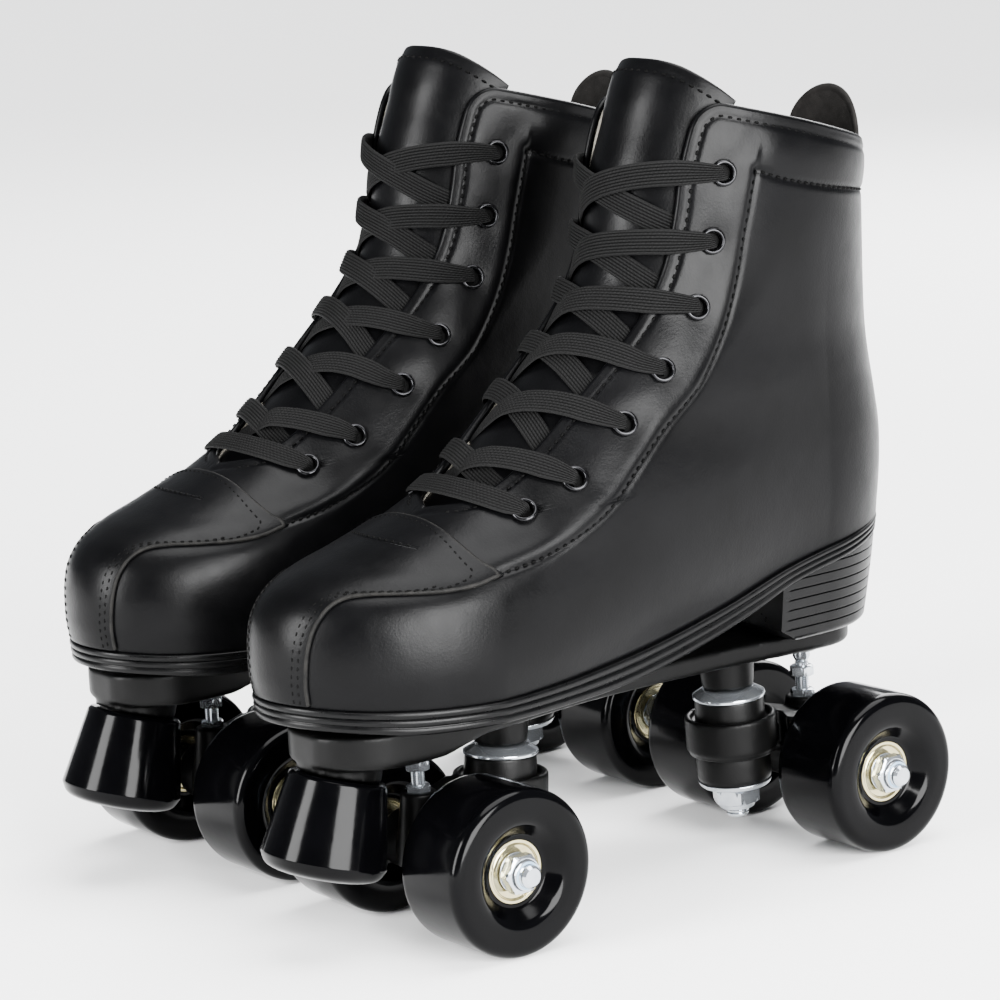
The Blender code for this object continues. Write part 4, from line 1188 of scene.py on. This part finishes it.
def cushion_shapes(truck):
    """The upper and lower cushions, turned, with softened edges."""
    king = kingpin_frame(truck)
    upper = turned(((5.0, 5.1, 0), (12.9, 5.1, 0.6), (12.75, 8.5, 2.0), (12.5, 13.6, 0.9), (8.6, 15.4, 0.6),
                    (5.0, 15.4, 0)), 72)
    lower = turned(((5.0, -18.3, 0), (12.4, -18.3, 0.9), (13.5, -16.2, 1.0), (13.6, -9.0, 1.5),
                    (13.3, -5.1, 0.6), (5.0, -5.1, 0)), 72)
    return (moved(outward(upper, (0, 0, 10)), king), moved(outward(lower, (0, 0, -12)), king))


def pivot_stud_shapes(truck):
    pivot = Matrix.Translation((0, truck_y(truck, -PIVOT_OUTWARD), 0))
    ball_top = PIVOT_BALL_Z + 2.0
    rod = turned([(0.01, 40.0, 0)] + threads(2.5, 40.0, PIVOT_BALL_Z - 3.0, 0.8, 0.3, 0.3)
                 + [(3.2, PIVOT_BALL_Z - 1.0, 0), (3.2, ball_top, 0), (0.01, ball_top, 0)],
                 32, ring=False)
    nut = hex_nut(8.0, PIVOT_BALL_Z - 8.4, PIVOT_BALL_Z - 4.4, 2.6)
    low_nut = hex_nut(8.0, 47.6, 51.2, 2.6)
    return [moved(outward(s, (0, 0, c)), pivot) for s, c in ((rod, 55), (nut, 58), (low_nut, 49.4))]


def wheel_shape():
    half = WHEEL_HALF_WIDTH
    outside = [(BEARING_RADIUS + 0.1, BEARING_FACE, 0.2), (12.6, BEARING_FACE + 0.1, 0.6),
               (13.8, 12.0, 1.5), (17.4, half - 0.6, 1.6), (20.4, half, 2.6),
               (WHEEL_RADIUS, half, 6.6)]
    section = outside + [(r, -h, fillet) for r, h, fillet in outside[::-1]]
    return outward(turned(section[::-1], 128, 8), (0, 0, 0))


def bearing_shape():
    """One side's bearing face, with its races and shield; the other side is its mirror image."""
    face = BEARING_FACE
    corners = ((4.3, 3.0, 0), (4.3, face, 0.25), (6.2, face, 0.25), (6.35, face - 0.5, 0),
               (9.2, face - 0.45, 0.2), (9.35, face - 0.05, 0.15), (9.7, face - 0.3, 0),
               (9.9, face, 0.15), (BEARING_RADIUS, face, 0.35), (BEARING_RADIUS, 3.0, 0))
    one = outward(turned(corners, 72, 3), (0, 0, 7.0))
    return joined([one, flipped(one, 2)])


def axle_shapes():
    """Rod with threaded ends, and the nuts that hold the wheels on, about the local Z axis."""
    end = AXLE_HALF_LENGTH
    half = [(3.95, 0.0, 0)] + threads(3.95, 46.0, end, 1.2, 0.42, 0.9) + [(0.01, end, 0)]
    rod_half = outward(turned(half + [(0.01, 0.0, 0)], 44), (0, 0, 20))
    rod = joined([rod_half, flipped(rod_half, 2)])
    face = TRACK / 2 + BEARING_FACE + 0.15
    nut = outward(hex_nut(12.8, face + 0.2, face + 5.0, 4.05, 1.5), (0, 0, face + 3))
    washer = outward(turned(((4.2, face - 0.1, 0), (6.9, face - 0.1, 0.2), (6.9, face + 0.3, 0.2),
                             (4.2, face + 0.3, 0)), 48), (0, 0, face))
    metal = [joined([part, flipped(part, 2)]) for part in (nut, washer)]
    collar = outward(turned(((4.0, face + 5.2, 0), (4.9, face + 5.4, 0.2), (4.8, face + 6.75, 0.3),
                             (4.0, face + 6.9, 0.2)), 48), (0, 0, face + 6))
    return joined([rod] + metal), joined([collar, flipped(collar, 2)])


def sideways_frame(x, truck):
    """An axle's own frame, its Z axis along the axle, x away from the skate's middle."""
    return Matrix.Translation((x, truck_y(truck, 0), AXLE_HEIGHT)) @ Matrix.Rotation(math.pi / 2, 4, "Y")


# Making everything

def make_boot():
    both("upper_leather", upper_shape(), LEATHER, "leather", "boot", ("upper",), 60)
    both("boot_lining", lining_shape(), LINING, "lining", "boot")
    both("insole_sock", insole_shape(), DARK_LINING, "lining", "boot", ("insole",))
    both("toe_apron", apron_shape(), LEATHER, "leather", "boot", (), 60)
    line, out = apron_border(0.0, APRON_THICKNESS - 0.35)
    both("apron_cut_edge", edge_cord(line, out, 1.3, 0.6), RAW_EDGE, "leather", "boot", (), 60)
    rows = [stitches(*apron_border(2.2, APRON_THICKNESS + 0.06), 2.0, 0.9, 0.32)]
    for side in (1.0, -1.0):
        rows.append(stitches(*apron_side(4.2, APRON_THICKNESS + 0.08, side), 2.0, 0.9, 0.31))
    both("apron_stitching", joined(rows), THREAD, "leather", "boot", (), 60)
    dash = np.linspace(-15.0, 19.0, 30)
    height = 0.238 - 0.006 * (dash / 20.0) ** 2
    turn = turn_at(height, dash)
    line, out = over_boot(height, turn, APRON_THICKNESS + 0.1), boot_normal(height, turn)
    both("apron_tuck", edge_cord(line, out, 1.8, 0.35), LEATHER, "leather", "boot", (), 60)
    tuck_stitching = stitches(line + out * 0.35, out, 2.3, 0.8, 0.36)
    both("apron_tuck_stitching", tuck_stitching, THREAD, "leather", "boot", (), 60)
    make_seams()
    both("eyelets", eyelets_shape(), EYELET_METAL, "zinc", "boot")
    # Near-black discs in the eyelet holes: painted shade for the boot's dark inside.
    both("painted_eyelet_shade", painted_eyelet_shade_shape(), THREAD, "leather", "boot")
    tongue = outward(sheet_solid(*tongue_grids()), (0, 30, 180))
    both("tongue_pad", tongue, LEATHER, "leather", "boot", ("tongue",), 60)
    line, out = tongue_stitch_line()
    both("tongue_stitching", stitches(line, out, 2.6, 0.9, 0.42), THREAD, "leather", "boot")
    both("lace_bands", lace_shape(), LACE_WEAVE, "lace", "boot", ("lace",), 70)
    both("pull_tab_loop", pull_tab_shape(), SUEDE, "tab_leather", "boot", ("pull_tab",), 60)


def make_seams():
    """Stitching along the quarters, the collar, the flaps' edges and the collar's top."""
    rows = [stitches(quarter_line - quarter_out * 0.45, quarter_out, 2.3, 1.0, 0.42),
            stitches(collar_line[3:] - collar_out[3:] * 0.45, collar_out[3:], 2.3, 1.0, 0.42)]
    t, turn = half_grid()
    points, out = boot_point(t, turn), boot_normal(t, turn)
    line, normal, away = flap_border(points, out)
    inset = line[4:-1] - away[4:-1] * 3.3
    rows.append(stitches(inset - normal[4:-1] * 0.45, normal[4:-1], 2.4, 0.9, 0.42))
    half = joined(rows)
    under = line - normal * (FLAP_THICKNESS + 0.3) - away * 0.7
    cord = outward(edge_cord(under, normal, 2.0, 0.8), (0, 40, 170))
    both("flap_lining_edge", joined([cord, other_side(cord)]), LINING, "lining", "boot", (), 60)
    both("upper_stitching", joined([half, other_side(half)]), THREAD, "leather", "boot", (), 60)


def make_chassis():
    both("sole_slab", sole_shape(), SOLE_RUBBER, "sole_rubber", "boot", ("outsole",), 50)
    both("stacked_heel", heel_shape(), SOLE_RUBBER, "sole_rubber", "boot", (), 50)
    both("plate_moulding", plate_shape(), PLATE_PLASTIC, "plate_plastic", "boot", ("plate",), 60)
    toe_stop = outward(toe_stop_shape(), (0, -126, 44))
    both("toe_stop_cone", toe_stop, URETHANE, "urethane", "boot", ("toe_stop",), 30)
    wheel, bearing = wheel_shape(), bearing_shape()
    axle, collars = axle_shapes()
    for label, truck in (("front", -1), ("rear", 1)):
        make_truck(label + "_", truck, axle, collars)
        for place, out in (("outer", 1), ("inner", -1)):
            seat = sideways_frame(out * TRACK / 2, truck)
            name = f"{label}_{place}_"
            both(name + "tyre", moved(wheel, seat), URETHANE, "urethane", name + "wheel_set",
                 (name + "wheel",), 30)
            both(name + "bearing_faces", moved(bearing, seat), BEARING_STEEL, "bearing_steel",
                 name + "wheel_set", (name + "bearings",), 30)


def make_truck(label, truck, axle, collars):
    body = label + "truck"
    both(label + "hanger_casting", hanger_shape(truck), PLATE_PLASTIC, "plate_plastic", body,
         (label + "hanger",), 60)
    bolt, washer, nut = kingpin_shapes(truck)
    both(label + "kingpin_bolt", joined([bolt, washer, nut]), ZINC, "zinc", "boot",
         (label + "kingpin",), 30)
    both(label + "dished_washer", top_washer_shape(truck), ZINC, "zinc", "boot", (label + "top_washer",), 30)
    for place, cushion in zip(("upper", "lower"), cushion_shapes(truck)):
        both(f"{label}{place}_bush", cushion, CUSHION_RUBBER, "cushion_rubber", "boot",
             (f"{label}{place}_cushion",), 30)
    both(label + "pivot_screw", joined(pivot_stud_shapes(truck)), ZINC, "zinc", body,
         (label + "pivot_stud",), 30)
    seat = sideways_frame(0, truck)
    both(label + "axle_and_nuts", moved(axle, seat), ZINC, "zinc", body, (label + "axle",), 30)
    both(label + "nut_collars", moved(collars, seat), NYLON, "zinc", body, (), 30)


# Floor, light and camera

def plain_floor():
    bpy.ops.mesh.primitive_plane_add(size=80.0, location=(0, 0, 0))
    made = bpy.context.object
    made.name = "floor"
    surface = bpy.data.materials.new("pale_floor")
    surface.use_nodes = True
    shader = surface.node_tree.nodes["Principled BSDF"]
    shader.inputs["Base Color"].default_value = (0.9, 0.9, 0.9, 1.0)
    shader.inputs["Roughness"].default_value = 0.9
    shader.inputs["Specular IOR Level"].default_value = 0.05
    made.data.materials.append(surface)


def aimed(name, kind, place, aim=(0.0, 0.0, 0.12)):
    """A lamp of a kind at a place, pointing at the skates."""
    lamp = bpy.data.lights.new(name, kind)
    made = bpy.data.objects.new(name, lamp)
    bpy.context.scene.collection.objects.link(made)
    made.location = place
    made.rotation_euler = (Vector(aim) - Vector(place)).to_track_quat("-Z", "Y").to_euler()
    return lamp


def soft_box(name, place, width, height, power):
    lamp = aimed(name, "AREA", place)
    lamp.shape = "RECTANGLE"
    lamp.size, lamp.size_y = width, height
    lamp.energy = power


def studio():
    world = bpy.data.worlds.new("studio")
    world.use_nodes = True
    background = world.node_tree.nodes["Background"]
    background.inputs["Color"].default_value = (0.9, 0.94, 1.0, 1.0)
    background.inputs["Strength"].default_value = 0.33
    bpy.context.scene.world = world
    sky = aimed("wide_sky", "SUN", (0.4, 0.5, 3.0))
    sky.angle = math.radians(50)
    sky.energy = 8.0
    soft_box("front_left_box", (-0.15, -1.9, 0.75), 0.7, 1.3, 135)
    soft_box("right_box", (2.0, -0.2, 0.7), 1.3, 1.3, 260)
    soft_box("back_box", (-0.9, 1.7, 1.2), 1.2, 1.0, 60)


CAMERA_PLACE = (1.0855, -0.8058, 0.3987)
CAMERA_AZIMUTH, CAMERA_ELEVATION, CAMERA_ROLL = 52.9161, 11.276, -2.8
CAMERA_LENS, CAMERA_SENSOR = 137.3, 36.0


def camera():
    """The camera, with its roll, from its azimuth and elevation about the object."""
    a, e, roll = (math.radians(x) for x in (CAMERA_AZIMUTH, CAMERA_ELEVATION, CAMERA_ROLL))
    back = Vector((math.sin(a) * math.cos(e), -math.cos(a) * math.cos(e), math.sin(e)))
    right = Vector((math.cos(a), math.sin(a), 0))
    up = back.cross(right)
    rolled_right = right * math.cos(roll) + up * math.sin(roll)
    rolled_up = up * math.cos(roll) - right * math.sin(roll)
    made = bpy.data.objects.new("camera", bpy.data.cameras.new("camera"))
    bpy.context.scene.collection.objects.link(made)
    made.matrix_world = (Matrix.Translation(CAMERA_PLACE)
                         @ Matrix((rolled_right, rolled_up, back)).transposed().to_4x4())
    made.data.lens = CAMERA_LENS
    made.data.sensor_width = CAMERA_SENSOR
    bpy.context.scene.camera = made


make_boot()
make_chassis()
plain_floor()
studio()
camera()
